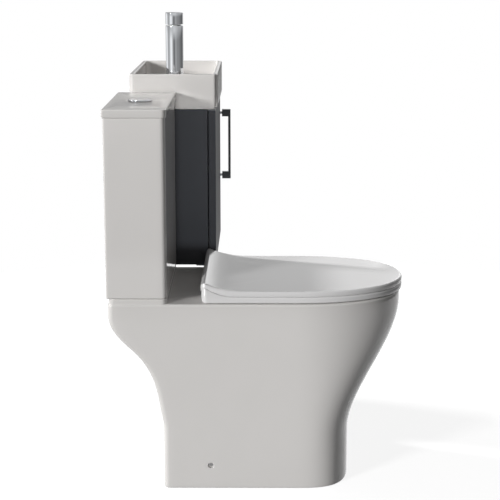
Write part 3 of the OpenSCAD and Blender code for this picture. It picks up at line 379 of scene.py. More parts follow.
def makePan():
    rim, edge, lip, wall, sump = pan["rim"], pan["edge"], pan["rimEdge"], pan["wall"], pan["sumpZ"]
    top = panRings(rim, rim, edge)
    half, bowlX = pan["half"], pan["bowlBack"] + pan["bowlLong"] / 2
    heading = np.arctan2((top[:, 1] - half) / pan["bowlHalf"], (top[:, 0] - bowlX) / (pan["bowlLong"] / 2))
    a = np.radians(np.linspace(0, 90, 7))
    low = sump - pan["sumpRadius"] * np.cos(np.radians(np.linspace(2, 88, 12)))
    up = np.linspace(sump, rim - lip, 34)
    outer = sump - (pan["sumpRadius"] + pan["bowlWall"]) * np.cos(np.radians(np.linspace(88, 2, 10)))
    rolled = rim - edge * (1 - np.sin(a[::-1]))
    down = np.linspace(rim - edge, 2, 60)[1:]
    inside = [0, 40, 80, 120, 170, 230, 290, 350, pan["ceiling"]]
    under = np.linspace(pan["ceiling"], sump, 12)
    rings = np.concatenate([
        bowlRings(low, low, 0, heading),
        bowlRings(up, up, 0, heading),
        bowlRings(rim - lip, rim - lip + lip * np.sin(a[1:]), lip * (1 - np.cos(a[1:])), heading),
        panRings(rolled, rolled, edge * (1 - np.cos(a[::-1]))),
        panRings(down, down, 0),
        panRings(0, 2 - 2 * np.sin(a[2::2]), 2 * (1 - np.cos(a[2::2]))),
        panRings(inside, inside, wall),
        bowlRings(under, under, pan["bowlWall"], heading),
        bowlRings(outer, outer, pan["bowlWall"], heading),
    ])
    shell = addSurface("Pan_Shell", rings, sharp=40)
    low, high = pan["backWindow"]
    window = addSurface("window", slabRings(low, high, 14, 14, 1, along=(3, 3)))
    r, flare = pan["holeRadius"], pan["holeFlare"]
    profile = np.concatenate([[[r, 22]], np.stack([r + flare * (1 - np.cos(a)), flare * (1 - np.sin(a))], -1),
                              [[r + flare, -6]]])
    ring = latheRings(profile, 0, 0, 40)  # turned from upright to level
    y = pan["sideY"] + ring[..., 2]
    holes = [addSurface("hole", np.stack([pan["holeX"] + ring[..., 0], across, pan["holeZ"] + ring[..., 1]], -1))
             for across in (y, 2 * half - y)]
    fill = addSurface("fill", latheRings([[20, 380], [20, 420]], pan["inletX"], 305, 48))
    dress(cutAway(shell, window, *holes, fill, sharp=40), "unit", "glazed_china", "pan")

    step = addSurface("Pan_Cistern_Step", slabRings(*pan["step"], 12, 2.5, 1, 5))
    dress(step, "unit", "glazed_china", "pan")
    path = [[404, 156], [377, 156], [367, 157], [358, 161], [350, 166], [343, 173], [312, 218], [281, 263],
            [274, 270], [265, 276], [255, 279], [245, 280], [235, 278], [226, 274], [218, 267], [211, 259], [208, 250],
            [203, 231], [198, 212], [194, 202], [187, 194], [178, 187], [169, 183], [158, 182], [126, 182]]
    path = roundedLine(path, 4, 2)  # its level start, the climb over the weir and the drop to the outlet
    path = np.insert(path, 1, half, axis=1)
    dress(addSurface("Pan_Trap_Way", tubeRings(path, pan["trapRadius"])), "unit", "glazed_china", "pan")
    ring = latheRings(roundedLine([[43, 32], [43, 0], [51, 0], [51, 40], [43, 40], [43, 32]], 2.5)[1:-1], 0, 0, 72)
    spigot = np.stack([pan["outletX"] + ring[..., 2], half + ring[..., 0], pan["outletZ"] + ring[..., 1]], -1)
    dress(addSurface("Pan_Outlet_Spigot", spigot, loop=True), "unit", "glazed_china", "pan")
    boss = addSurface("Pan_Flush_Boss", latheRings([[50, 341], [54, 345], [54, 400]], pan["inletX"], half, 72))
    dress(boss, "unit", "glazed_china", "pan")
    ring = latheRings([[pan["ductRadius"], pan["inletX"]], [pan["ductRadius"], 268]], 0, 0, 48)
    duct = np.stack([ring[..., 2], half + ring[..., 0], pan["ductZ"] + ring[..., 1]], -1)
    dress(addSurface("Pan_Flush_Duct", duct), "unit", "glazed_china", "pan")


makePan()
print("pan made")

# The cistern: a slip-cast box with a lid that hangs over it.
cistern = {"low": (3.3, 2, 418), "high": (130.3, 358, 796), "radius": 11, "wallRadius": 4, "wall": 8, "floor": 12,
           "lidLow": (0.8, 0, 796.3), "lidHigh": (132.8, 360, 813), "lidRadius": 11, "lidEdge": 2.6,
           "button": (66, 180), "buttonHole": 25, "lipDown": 7, "lidThick": 9}


def makeCistern():
    low, high, wall = np.array(cistern["low"]), np.array(cistern["high"]), cistern["wall"]
    inside = slabRings((low[0] + wall, low[1] + wall, low[2] + cistern["floor"]),
                       (high[0] - wall, high[1] - wall, high[2]), 8, 0.01, 6)
    inside[-5:, :, 2] = high[2] - 2 + 2 * np.sin(np.radians(np.linspace(0, 90, 5)))[:, None]
    outside = slabRings(low, high, cistern["radius"], 2, 3, wallRadius=cistern["wallRadius"])
    body = addSurface("Cistern_Body", np.concatenate([outside, inside[::-1]]))
    dress(body, "unit", "glazed_china", "cistern_tank")

    low, high, edge, r = cistern["lidLow"], cistern["lidHigh"], cistern["lidEdge"], cistern["buttonHole"]
    shell = slabRings(low, high, cistern["lidRadius"], edge, 1.2, 6, wallRadius=cistern["wallRadius"])
    lipZ, ceiling, (x, y) = low[2] - cistern["lipDown"], high[2] - cistern["lidThick"], cistern["button"]
    lip = slabRings((12.3, 11, lipZ), (121.3, 349, low[2] + 2), 8, 0.2, 1.5)[:-1]
    hollow = rectRings(17.3, 16, 116.3, 344, 6, [lipZ, ceiling])
    heading = np.arctan2(shell[-1][:, 1] - y, shell[-1][:, 0] - x)
    hole = np.array([[r, ceiling], [r, high[2] - 1], [r + 0.3, high[2] - 0.3], [r + 1, high[2]]])
    hole = np.stack([x + hole[:, :1] * np.cos(heading), y + hole[:, :1] * np.sin(heading),
                     hole[:, 1:] + 0 * heading], -1)
    rings = np.concatenate([hole, shell[::-1], lip[::-1], hollow])
    lid = addSurface("Cistern_Lid", rings, loop=True)
    dress(lid, "unit", "glazed_china", "cistern_lid")


makeCistern()
for node, name, body in (("button_plate", "Flush_Plate", "unit"),
                         ("flush_button_full", "Flush_Button_Full", "full_flush_button"),
                         ("flush_button_half", "Flush_Button_Half", "half_flush_button")):
    dress(softenedCopy(node, 0.5, name), body, "chromed_plastic", node)
print("cistern made")

# The seat and its lid share one outline. Both rise in a quarter round at the back and slope down from there.
seat = {"half": 177, "back": 200, "tip": 635, "nose": 398, "power": 2.2, "radius": 13, "middle": 180,
        "hingeX": 216, "hingeZ": 428, "posts": (102.5, 257.5), "slopeEnd": 284,
        "lidLow": 421.9, "lidTop": 435.5, "lidThick": 4, "lidEdge": 5, "ridge": 16, "ridgeRound": 9,
        "crown": 1.3, "crownFrom": (250, 320), "rampEnd": 285, "lipWidth": 8.5, "bowlX": 425,
        # the lid's underside clears the hinge: its height at the back, how fast it falls, and the posts' notches
        "slantRise": 6, "slantFall": 0.43, "notch": (204.5, 16, 437), "rollFrom": 214, "knuckles": (-21.4, 13.4),
        "ringLow": 408.5, "ringTop": 421.6, "ringBack": 201.4, "ringRound": 9, "ringCrown": 440.7, "ringEase": 2.4,
        "ringEdge": 5, "ringSideEdge": 4.5, "ringFootEdge": 3, "ringWidth": 36, "ringGap": 0.4,
        "hole": (431, 143, 100), "hingeGaps": ((79.5, 117), (243, 280.5))}


def seatRings(inset, back=seat["back"]):
    # The seat's outline in plan, drawn in by each inset: a superellipse nose, two straight sides and a back with
    # round corners.
    inset = np.asarray(inset, float)[..., None]
    half, tip, x0 = seat["half"] - inset, seat["tip"] - inset, back + inset
    r = np.maximum(seat["radius"] - inset, 0.5)
    a, q = np.radians(np.linspace(-90, 90, 97)), np.radians(np.linspace(0, 90, 9))
    c, s = np.cos(a), np.sin(a)
    side = np.concatenate([np.linspace(seat["nose"], 262, 9)[1:], np.linspace(258, 214, 23)])
    side = side + 0 * inset
    side = np.maximum(side, x0 + r + np.linspace(2.3, 0.1, side.shape[-1]))
    rear = np.linspace(-1, 1, 74)[1:-1]
    x = [seat["nose"] + (tip - seat["nose"]) * np.maximum(c, 0) ** (2 / seat["power"]), side,
         x0 + r - r * np.sin(q), x0 + 0 * rear, x0 + r - r * np.cos(q), side[..., ::-1]]
    y = [half * np.sign(s) * np.abs(s) ** (2 / seat["power"]), half + 0 * side,
         half - r + r * np.cos(q), -(half - r) * rear, -(half - r) - r * np.sin(q), -half + 0 * side]
    return np.stack([np.concatenate(x, -1), seat["middle"] + np.concatenate(y, -1)], -1)


def hingeRoof(x, gap=0):
    # The ring's top along its length: a quarter round at the back, then a slope that eases out on the level
    # as a power.
    turn = seat["ringBack"] + seat["ringRound"]
    t = np.clip((x - turn) / (seat["slopeEnd"] - turn), 0, 1)
    slope = (seat["ringCrown"] - seat["ringTop"]) * (1 - t) ** seat["ringEase"]
    return gap + seat["ringTop"] + slope - rolledEdge(x - seat["ringBack"], seat["ringRound"])


def lidRoof(x):
    # The lid's top along its length: a quarter round up to the ridge, then a slope that eases out on the level
    # as a square.
    top, h, r = seat["lidTop"], seat["ridge"], seat["ridgeRound"]
    past = x - seat["back"] - r
    crown = top + h - r + np.sqrt(np.maximum(0, r ** 2 - past ** 2))
    t = np.clip(past / (seat["slopeEnd"] - seat["back"] - r), 0, 1)
    return np.where(t > 0, top + h * (1 - t) ** 2, crown)


def rolledEdge(distance, radius):
    # how far a rounded edge has dropped at a distance from it: a quarter circle
    d = np.clip(distance, 0, radius)
    return radius - np.sqrt(radius ** 2 - (radius - d) ** 2)


def sideDistance(rings, inset):
    # the distance to the outline, but to the straight sides only where the seat is behind its nose
    across = seat["half"] - np.abs(rings[..., 1] - seat["middle"])
    return np.where(rings[..., 0] < seat["nose"], across, np.asarray(inset)[..., None])


def crownDrop(rings):
    # the lid's level part falls away a little to each side: the square of the distance from its middle line
    aside = (rings[..., 1] - seat["middle"]) / seat["half"]
    return seat["crown"] * smoothStep(rings[..., 0], *seat["crownFrom"]) * aside ** 2


def withHeight(plan, height):
    # a grid of points from their places in plan and their heights
    return np.concatenate([plan, height[..., None]], -1)


def makeLid():
    edge, gap, ceiling = seat["lidEdge"], seat["ringGap"], seat["lidTop"] - seat["lidThick"]
    inset = np.concatenate([edge * (1 - np.cos(np.radians(np.linspace(0, 90, 8)))),
                            np.linspace(6, 12, 6), np.linspace(14, 48, 16)])
    rings = seatRings(inset)
    top = lidRoof(rings[..., 0]) - rolledEdge(sideDistance(rings, inset), edge) - crownDrop(rings)
    inner = np.concatenate([[0, 1, 2.2, 3.5, 5, 6.5, 8, 9.5], np.linspace(11, 48, 20)])
    below = seatRings(inner)
    x, away = below[..., 0], sideDistance(below, inner)
    slant = seat["hingeZ"] + seat["slantRise"] - (x - seat["back"]) * seat["slantFall"]
    under = np.maximum(np.maximum(seat["lidLow"], slant), hingeRoof(x, gap))
    notchX, notchHalf, notchZ = seat["notch"]
    notch = (x < notchX) & (np.min([np.abs(below[..., 1] - y) for y in seat["posts"]], 0) < notchHalf)
    under = np.where(notch, np.maximum(under, notchZ), under)
    under = np.where((x > seat["rampEnd"]) & (away > seat["lipWidth"]), ceiling, under)
    under = under + rolledEdge(away, 2) * (x > seat["rollFrom"])
    middle = np.array([seat["bowlX"], seat["middle"]])
    shrink = np.array([0.93, 0.7, 0.4, 0.1])[:, None, None]
    crown = middle + (rings[-1] - middle) * shrink[::-1]
    vault = middle + (below[-1] - middle) * shrink
    vaultZ = np.where(vault[..., 0] < seat["rampEnd"], hingeRoof(vault[..., 0], gap), ceiling)
    lid = addSurface("Seat_Lid", np.concatenate([
        withHeight(crown, lidRoof(crown[..., 0]) - crownDrop(crown)), withHeight(rings[::-1], top[::-1]),
        withHeight(below, under), withHeight(vault, vaultZ)]), sharp=42)
    dress(lid, "seat_lid", "seat_plastic", "seat_lid")
    for number, (post, beside) in enumerate(zip(seat["posts"], seat["knuckles"])):
        y = post + beside
        knuckle = latheRings(roundedLine([[0.5, 0], [8.5, 0], [8.5, 8], [0.5, 8]], 1), 0, 0, 40)
        level = np.stack([seat["hingeX"] + knuckle[..., 0], y + knuckle[..., 2], seat["hingeZ"] + knuckle[..., 1]], -1)
        dress(addSurface(f"Lid_Knuckle_{number + 1}", level), "seat_lid", "seat_plastic", "seat_lid")
        web = slabRings((210, y, 428), (221, y + 8, 446), 1, 0.5, 0.5, 2, (4, 4))
        dress(addSurface(f"Lid_Web_{number + 1}", web), "seat_lid", "seat_plastic", "seat_lid")


def makeRing():
    low, back, edge, footEdge = seat["ringLow"], seat["ringBack"], seat["ringEdge"], seat["ringFootEdge"]
    roll = edge * (1 - np.cos(np.radians(np.linspace(0, 90, 7))))
    inset = np.concatenate([roll, np.linspace(6.5, seat["ringWidth"], 14)])
    outer = seatRings(inset, back)
    top = hingeRoof(outer[..., 0]) - rolledEdge(sideDistance(outer, inset), seat["ringSideEdge"])
    foot = np.concatenate([np.linspace(seat["ringWidth"], 4, 12),
                           footEdge * (1 - np.sin(np.radians(np.linspace(15, 90, 5))))])
    lower = seatRings(foot, back)
    bottom = low + rolledEdge(sideDistance(lower, foot), footEdge) + rolledEdge(lower[..., 0] - back, 10)
    bottom[-1] = np.maximum(bottom[-1], low + footEdge)
    holeX, halfLong, halfWide = seat["hole"]
    heading = np.arctan2((outer[-1][:, 1] - seat["middle"]) / halfWide, (outer[-1][:, 0] - holeX) / halfLong)
    a = np.radians(np.linspace(0, 90, 6))
    grow = np.concatenate([edge * (1 - np.sin(a)), footEdge * (1 - np.cos(a))])[:, None]
    height = np.concatenate([seat["ringTop"] - edge * (1 - np.cos(a)), low + footEdge * (1 - np.sin(a))])[:, None]
    hole = np.stack([holeX + (halfLong + grow) * np.cos(heading),
                     seat["middle"] + (halfWide + grow) * np.sin(heading), height + 0 * heading], -1)
    deck = outer[-1] + (hole[0, :, :2] - outer[-1]) * np.array([0.25, 0.5, 0.75])[:, None, None]
    ring = addSurface("Seat_Ring", np.concatenate([
        withHeight(outer, top), withHeight(deck, hingeRoof(deck[..., 0])), hole, withHeight(lower, bottom)]),
        loop=True, sharp=42)
    gaps = [addSurface("gap", slabRings((190, y0, 395), (236, y1, 460), 1, 0.5, 0.5, 1, (3, 3)))
            for y0, y1 in seat["hingeGaps"]]
    dress(cutAway(ring, *gaps, sharp=42), "seat_ring", "seat_plastic", "seat_ring")


makeLid()
makeRing()
dress(softenedCopy("seat_hinge_posts", 0.8, "Seat_Hinge_Posts"), "unit", "polished_chrome", "seat_hinge_posts")
print("seat made")

# The basin: a trough with a thin rim, a sunk ledge for the tap and a level floor.
basin = {"low": (26.5, 365, 777.5), "high": (227.5, 765, 853), "radius": 9, "edge": 2.6, "rim": 10, "ledgeZ": 838,
         "ledgeEdge": 4, "ledgeRadius": 8, "bowlNear": 445, "bowlRadius": 14, "fillet": 8, "floor": 796,
         "drain": (127, 600), "recess": 32.5, "recessZ": 793.5, "bore": 23.2, "foot": 773}


def makeBasin():
    low, high, ledge, floor, e = [basin[key] for key in ("low", "high", "ledgeZ", "floor", "edge")]
    (x0, yNear), (x1, yFar) = [[end[k] + side * basin["rim"] for k in (0, 1)] for end, side in ((low, 1), (high, -1))]
    yBowl, k, soft, roll = basin["bowlNear"], basin["bowlRadius"], basin["ledgeEdge"], basin["fillet"]
    t = np.linspace(0, 1, 61)[1:-1]

    def bowlU(offset):
        # the bowl's near end, from side to side: a corner, a straight and a corner, moved out by an offset
        left = arcPoints(x0 + k, yBowl + k, k + offset, 180, 270, 13)
        right = arcPoints(x1 - k, yBowl + k, k + offset, 270, 360, 13)
        u = np.concatenate([np.linspace(0, 0.2, 13), np.linspace(0.8, 1, 13)])
        line = np.concatenate([left, right])
        return np.stack([np.clip(np.interp(t, u, line[:, 0]), x0, x1), np.interp(t, u, line[:, 1])], -1)

    def ledgeU(inset):
        # the ledge's outline: along one side, round its corner, the near side and back
        r = basin["ledgeRadius"]
        left = arcPoints(x0 + r, yNear + r, r - inset, 180, 270, 7)
        right = arcPoints(x1 - r, yNear + r, r - inset, 270, 360, 7)
        line = np.concatenate([[[x0 + inset, yBowl + k]], left, right, [[x1 - inset, yBowl + k]]])
        u = np.concatenate([[0], np.linspace(0.08, 0.2, 7), np.linspace(0.8, 0.92, 7), [1]])
        return np.stack([np.interp(t, u, line[:, 0]), np.interp(t, u, line[:, 1])], -1)

    a = np.radians(np.linspace(0, 90, 6))
    nearPlan = [bowlU(0)] * 4 + [bowlU(soft * (1 - c)) for c in np.cos(a[1:])]
    nearZ = [floor + roll, 812, 824, ledge - soft] + list(ledge - soft + soft * np.sin(a[1:]))
    start, end = bowlU(soft), ledgeU(soft)
    nearPlan += [start + (end - start) * s for s in (0.3, 0.65, 1)] + [ledgeU(soft * c) for c in 1 - np.sin(a[1:])]
    nearZ += [ledge] * 3 + list(ledge + soft * (1 - np.cos(a[1:])))
    nearPlan += [ledgeU(0)] * 2
    nearZ += [846, high[2] - e]
    nearPlan, nearZ = np.array(nearPlan), np.array(nearZ)
    far = arcPoints(x1 - k, yFar - k, k, 0, 90, 10), arcPoints(x0 + k, yFar - k, k, 90, 180, 10)
    run = np.linspace(yBowl + k, yFar - k, 26)[:-1]
    farPlan = np.concatenate([np.stack([x1 + 0 * run, run], -1), far[0],
                              np.stack([np.linspace(x1 - k, x0 + k, 14)[1:-1], np.full(12, yFar)], -1), far[1],
                              np.stack([x0 + 0 * run, run[::-1]], -1)])
    rise = np.linspace(floor + roll, high[2] - e, len(nearZ))[:, None]
    walls = np.concatenate([
        withHeight(nearPlan, nearZ[:, None] + 0 * nearPlan[..., 0]),
        withHeight(farPlan + 0 * rise[..., None], rise + 0 * farPlan[:, 0])], 1)
    inner, (drainX, drainY) = walls[0], basin["drain"]

    def drawnIn(turn):
        # the foot of the walls, carried in and down along a quarter circle
        amount = roll * (1 - np.sin(turn))
        return np.stack([np.clip(inner[:, 0], x0 + amount, x1 - amount),
                         np.clip(inner[:, 1], yBowl + amount, yFar - amount),
                         np.full(len(inner), floor + roll - roll * np.cos(turn))], -1)

    fillet = np.array([drawnIn(turn) for turn in np.radians(np.linspace(0, 90, 7))])
    heading = np.arctan2(inner[:, 1] - drainY, inner[:, 0] - drainX)
    bore, recess, recessZ = basin["bore"], basin["recess"], basin["recessZ"]
    drain = np.array([[bore, basin["foot"]], [bore, recessZ - 0.6], [bore + 0.6, recessZ],
                      [recess, recessZ], [recess + 0.5, floor - 0.8], [recess + 2, floor]])
    drain = np.stack([drainX + drain[:, :1] * np.cos(heading), drainY + drain[:, :1] * np.sin(heading),
                      drain[:, 1:] + 0 * heading], -1)
    blend = drain[-1] + (fillet[0] - drain[-1]) * np.array([0.25, 0.5, 0.75])[:, None, None]
    plan = walls[-1][:, :2]
    outer = np.stack([np.interp(plan[:, 0], [x0, x1], [low[0], high[0]]),
                      np.interp(plan[:, 1], [yNear, yFar], [low[1], high[1]])], -1)

    def rounded(inset, z):
        # the outer outline with its round corners: points near a corner are pulled onto its circle
        r = basin["radius"]
        box = np.clip(outer, [low[0] + inset, low[1] + inset], [high[0] - inset, high[1] - inset])
        core = np.clip(box, [low[0] + inset + r, low[1] + inset + r], [high[0] - inset - r, high[1] - inset - r])
        apart = box - core
        length = np.maximum(np.abs(apart).max(-1, keepdims=True), 1e-9)
        norm = np.maximum(np.linalg.norm(apart, axis=-1, keepdims=True), 1e-9)
        return withHeight(core + apart * np.minimum(1, length / norm) * (length > 1e-6), np.full(len(box), z))

    move = (outer - plan) / np.maximum(np.linalg.norm(outer - plan, axis=-1, keepdims=True), 1e-9)
    innerTop = [withHeight(plan + move * e * (1 - math.cos(turn)), np.full(len(plan), high[2] - e + e * math.sin(turn)))
                for turn in a[1:]]
    outerTop = [rounded(e * (1 - math.cos(turn)), high[2] - e + e * math.sin(turn)) for turn in a[::-1]]
    sides = [rounded(0, z) for z in (835, 815, 795, low[2] + 2)]
    foot = [rounded(2 * (1 - math.cos(turn)), low[2] + 2 - 2 * math.sin(turn)) for turn in a[2::2]]
    foot += [rounded(6, low[2]), rounded(6, basin["foot"] + 1), rounded(7, basin["foot"])]
    rings = np.concatenate([drain, blend, fillet, walls[1:], innerTop, outerTop, sides, foot])
    dress(addSurface("Basin_Trough", rings, loop=True, sharp=40), "unit", "glazed_china", "basin")


makeBasin()
print("basin made")

# The tap: a plain turned pillar, a cap that turns on it, a level spout and a pin to hold.
tap = {"x": 128.5, "y": 405, "radius": 20, "base": 840.3, "top": 960.5, "capLow": 963, "capTop": 990, "edge": 0.9,
       "shankLow": 792, "shankRadius": 16, "spoutStart": 424.6, "spoutZ": 905, "spoutRadius": 9, "spoutBend": 12,
       "spoutEnd": 526, "mouthZ": 889, "leverZ": 976.5, "leverRadius": 3, "leverStart": 411, "leverEnd": 471}


def makeTap():
    x, y, r, edge, top, low = [tap[key] for key in ("x", "y", "radius", "edge", "top", "shankLow")]
    body = roundedLine([[0.5, low], [tap["shankRadius"], low], [tap["shankRadius"], tap["base"]], [r, tap["base"]],
                        [r, top], [15.2, top], [15.2, top - 4], [0.5, top - 4]], edge)
    dress(addSurface("Tap_Body", latheRings(body, x, y, 96)), "unit", "polished_chrome", "tap_body")
    low, top = tap["capLow"], tap["capTop"]
    cap = roundedLine([[5.2, low + 6], [5.2, low], [r, low], [r, top], [0.5, top]], edge)
    dress(addSurface("Tap_Cap", latheRings(cap, x, y, 96)), "tap_handle", "polished_chrome", "tap_cap")

    # the spout's line: level, a quarter circle and straight down, then back up inside for the aerator
    end, z, r, mouth = tap["spoutEnd"], tap["spoutZ"], tap["spoutRadius"], tap["mouthZ"]
    bend = arcPoints(end - tap["spoutBend"], z - tap["spoutBend"], tap["spoutBend"], 90, 0, 14)
    line = np.concatenate([[[tap["spoutStart"], z], [tap["spoutStart"] + 1, z], [470, z]], bend,
                           [[end, mouth + 3], [end, mouth + 0.6], [end, mouth]]])
    rings = tubeRings(np.insert(line, 0, x, axis=1), r)
    rings[0] = [x, tap["spoutStart"], z] + (rings[0] - [x, tap["spoutStart"], z]) * 0.93
    ring = rings[-1] - [x, end, mouth]
    lip = np.array([[x, end, mouth + rise] + ring * (radius / r)
                    for radius, rise in ((8.4, -0.1), (7.4, -0.1), (7, 0.6), (7, 8))])
    dress(addSurface("Tap_Spout", np.concatenate([rings, lip])), "unit", "polished_chrome", "tap_spout")

    a, r = np.radians(np.linspace(0, 85, 7)), tap["leverRadius"]
    profile = np.concatenate([[[r, tap["leverStart"]]],
                              np.stack([r * np.cos(a), tap["leverEnd"] - r + r * np.sin(a)], -1)])
    ring = latheRings(profile, 0, 0, 32)
    pin = np.stack([x + ring[..., 0], ring[..., 2], tap["leverZ"] + ring[..., 1]], -1)
    dress(addSurface("Tap_Lever", pin), "tap_handle", "polished_chrome", "tap_lever")


makeTap()
print("tap made")

# The cabinet: lacquered boards whose edges have the small round that sanding leaves.
cabinet = {"edge": 0.9, "x0": 26.5, "x1": 204, "y0": 366, "y1": 764, "z0": 410, "z1": 772.7, "board": 16,
           "shelf": (36.5, 192, 570), "doorX": 206, "doorFront": 222.5, "doorLow": 411.5, "doorHigh": 770.1,
           "doorGap": 0.5, "doorEdge": 1.2}


def makeCabinet():
    x0, x1, y0, y1, z0, z1, b, edge, gap, doorEdge = [cabinet[key] for key in (
        "x0", "x1", "y0", "y1", "z0", "z1", "board", "edge", "doorGap", "doorEdge")]
    back, front, shelf = cabinet["shelf"]
    for name, low, high in (("Cabinet_Near_Side", (x0, y0, z0), (x1, y0 + b, z1)),
                            ("Cabinet_Far_Side", (x0, y1 - b, z0), (x1, y1, z1)),
                            ("Cabinet_Bottom", (x0, y0 + b, z0), (x1, y1 - b, z0 + b)),
                            ("Cabinet_Shelf", (back, y0 + b + 1, shelf), (front, y1 - b - 1, shelf + b))):
        board = addSurface(name, slabRings(low, high, edge, edge, edge, 3, (5, 5)))
        dress(board, "unit", "grey_lacquer", name.lower())
    low = cabinet["doorX"], y0 + gap, cabinet["doorLow"]
    high = cabinet["doorFront"], y1 - gap, cabinet["doorHigh"]
    door = addSurface("Cabinet_Door", slabRings(low, high, doorEdge, doorEdge, doorEdge, 4, (5, 9)))
    dress(door, "door", "grey_lacquer", "door")


makeCabinet()
doorHandle = softenedCopy("handle", 1.0, "Door_Handle")
dress(doorHandle, "door", "polished_chrome", "handle")
# the handle's own finish is the polished chrome; it gets the darker copy, whose darkness is painted dark reflection
doorHandle.data.materials[0] = finishes["chrome_painted_dark"]
dress(softenedCopy("handle_collars", 0.5, "Handle_Collars"), "door", "polished_chrome", "handle_collars")
print("cabinet made")

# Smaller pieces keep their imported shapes, with a fine round on the edges that show.
for node, width, name in (("waste_plug", 0.8, "Waste_Plug"), ("trap_cup", 1.0, "Trap_Cup"), ("tap_nut", 0.6, "Tap_Nut"),
                          ("fill_float", 1.2, "Float_Cup"), ("flush_valve_nut", 0.8, "Flush_Valve_Nut"),
                          ("wall_rail", 0.4, "Wall_Rail"), ("door_pivot_plates", 0.3, "Door_Pivot_Plates")):
    dress(softenedCopy(node, width, name), body_of(frame["nodes"][node])[0], slotOf[node], node)
for node, piece in frame["nodes"].items():
    piece.data.materials.clear()
    piece.data.materials.append(finishes[slotOf[node]])
print("small pieces made")

# The studio: a floor, two distant lamps from the left and a few narrow ones that lift the shadows beside the
# cistern. The camera and glass see white behind the object, mirrors see dark cards and soft boxes, which draw
# the bands on chrome and the dark edges of the glaze, and everything else sees a dim grey.
studio = {"middle": (317.5, 382.5), "floorRadius": 1900, "floorZ": (-6, -0.2), "floorDark": "#505050",
          "floorPale": "#a0a0a0", "floorGlow": 0.86,
          # the floor inside the hollow foot, which doesn't glow: its middle, half its length and half its width
          "foot": ((-0.0325, 0.155), (-0.2025, 0.168)),
          "focal": 101.66, "from": (0.0025, -3.2325, 1.133), "pitch": 12.07, "yaw": 0.333,
          # distant lamps: the way their light comes from, its spread in degrees and its strength
          "suns": {"Key": ((-0.68, -0.71, 0.2), 11, 2.85), "Left": ((-0.645, 0.248, 0.723), 8, 1.65)},
          # narrow lamps upright beside the vanity's near side: place, width and height, and watts
          "strips": {"Fill_A": ((-0.170, -0.4, 0.632), (0.032, 0.357), 0.0145),
                     "Fill_B": ((-0.138, -0.4, 0.6265), (0.032, 0.347), 0.0140),
                     "Fill_C": ((-0.106, -0.4, 0.622), (0.032, 0.338), 0.0137)}, "stripSpread": 5,
          # one more over the seat's far side, along the Left lamp's light, and the way that its long side runs
          "lidFill": ((0.0117, -0.0048, 0.560), (0.267, 0.11), 0.06), "lidAlong": (0.934, -0.358, 0), "lidSpread": 8,
          # degrees from straight behind the object towards its front, and the light there, under and over the horizon
          "world": 0.15, "horizon": 0.06,
          "under": ((-180, .15), (-172, .25), (-164, .46), (-150, .95), (-136, 1.3), (-122, .75), (-106, .48),
                    (-88, .55), (-66, 1.3), (-50, 1), (-35, .75), (-24, .3), (-8, .1), (-3, .9), (0.4, .9), (1.9, .3),
                    (3, .08), (8, .08), (20, .5), (35, .75), (45, .3), (50, .125), (76, .17), (95, .22), (112, .28),
                    (128, .32), (142, .32), (156, .45), (169, .4), (180, .15)),
          "over": ((-180, .8), (-120, .5), (-60, .37), (-2, .37), (-1.2, 1), (6, 1), (8, 2.5), (20, 2.5), (24, .8),
                   (120, .5), (180, .8))}


def addLight(tree, path):
    # How light the studio is in each direction: a ramp over the turn round the upright axis,
    # which changes from the lower to the upper one across the horizon.
    way = addNode(tree, "ShaderNodeTexCoord").outputs["Generated"]
    way = addNode(tree, "ShaderNodeSeparateXYZ", {"Vector": way}).outputs
    turn = addNode(tree, "ShaderNodeMath", {0: way["X"], 1: way["Y"]}, operation="ARCTAN2")
    turn = addNode(tree, "ShaderNodeMapRange", {
        "Value": turn.outputs["Value"], "From Min": -math.pi, "From Max": math.pi})
    ramps = []
    for key in ("under", "over"):
        ramp = addNode(tree, "ShaderNodeValToRGB", {"Fac": turn.outputs["Result"]})
        stops = ramp.color_ramp.elements
        for degrees, value in studio[key][1:-1]:
            stops.new((degrees + 180) / 360)
        for stop, (degrees, value) in zip(stops, studio[key]):
            stop.position, stop.color = (degrees + 180) / 360, (value, value, value, 1)
        ramps.append(ramp.outputs["Color"])
    rise = addNode(tree, "ShaderNodeMapRange", {"Value": way["Z"], "From Min": 0.0, "From Max": studio["horizon"]})
    cards = addNode(tree, "ShaderNodeMix", {
        "Factor": rise.outputs["Result"], "A": ramps[0], "B": ramps[1]}, data_type="RGBA")
    plain = addNode(tree, "ShaderNodeMix", {
        "Factor": path["Is Glossy Ray"], "A": (studio["world"],) * 3 + (1,),
        "B": cards.outputs["Result"]}, data_type="RGBA")
    clear = addNode(tree, "ShaderNodeMath", {
        0: path["Is Camera Ray"], 1: path["Is Transmission Ray"]}, operation="MAXIMUM")
    light = addNode(tree, "ShaderNodeMix", {
        "Factor": clear.outputs["Value"], "A": plain.outputs["Result"], "B": (1, 1, 1, 1)}, data_type="RGBA")
    return light.outputs["Result"]


def addStand(name, data, place, turn):
    # stands a lamp or a camera in the scene
    stand = bpy.data.objects.new(name, data)
    stand.location, stand.rotation_euler = place, turn
    bpy.context.scene.collection.objects.link(stand)
    return stand


def addFill(name, place, size, power, spread, turn):
    # a narrow lamp that neither the camera nor a mirror sees
    lamp = bpy.data.lights.new(name, "AREA")
    lamp.shape, (lamp.size, lamp.size_y) = "RECTANGLE", size
    lamp.energy, lamp.spread = power, math.radians(spread)
    stand = addStand(name, lamp, place, turn)
    stand.visible_camera, stand.visible_glossy = False, False


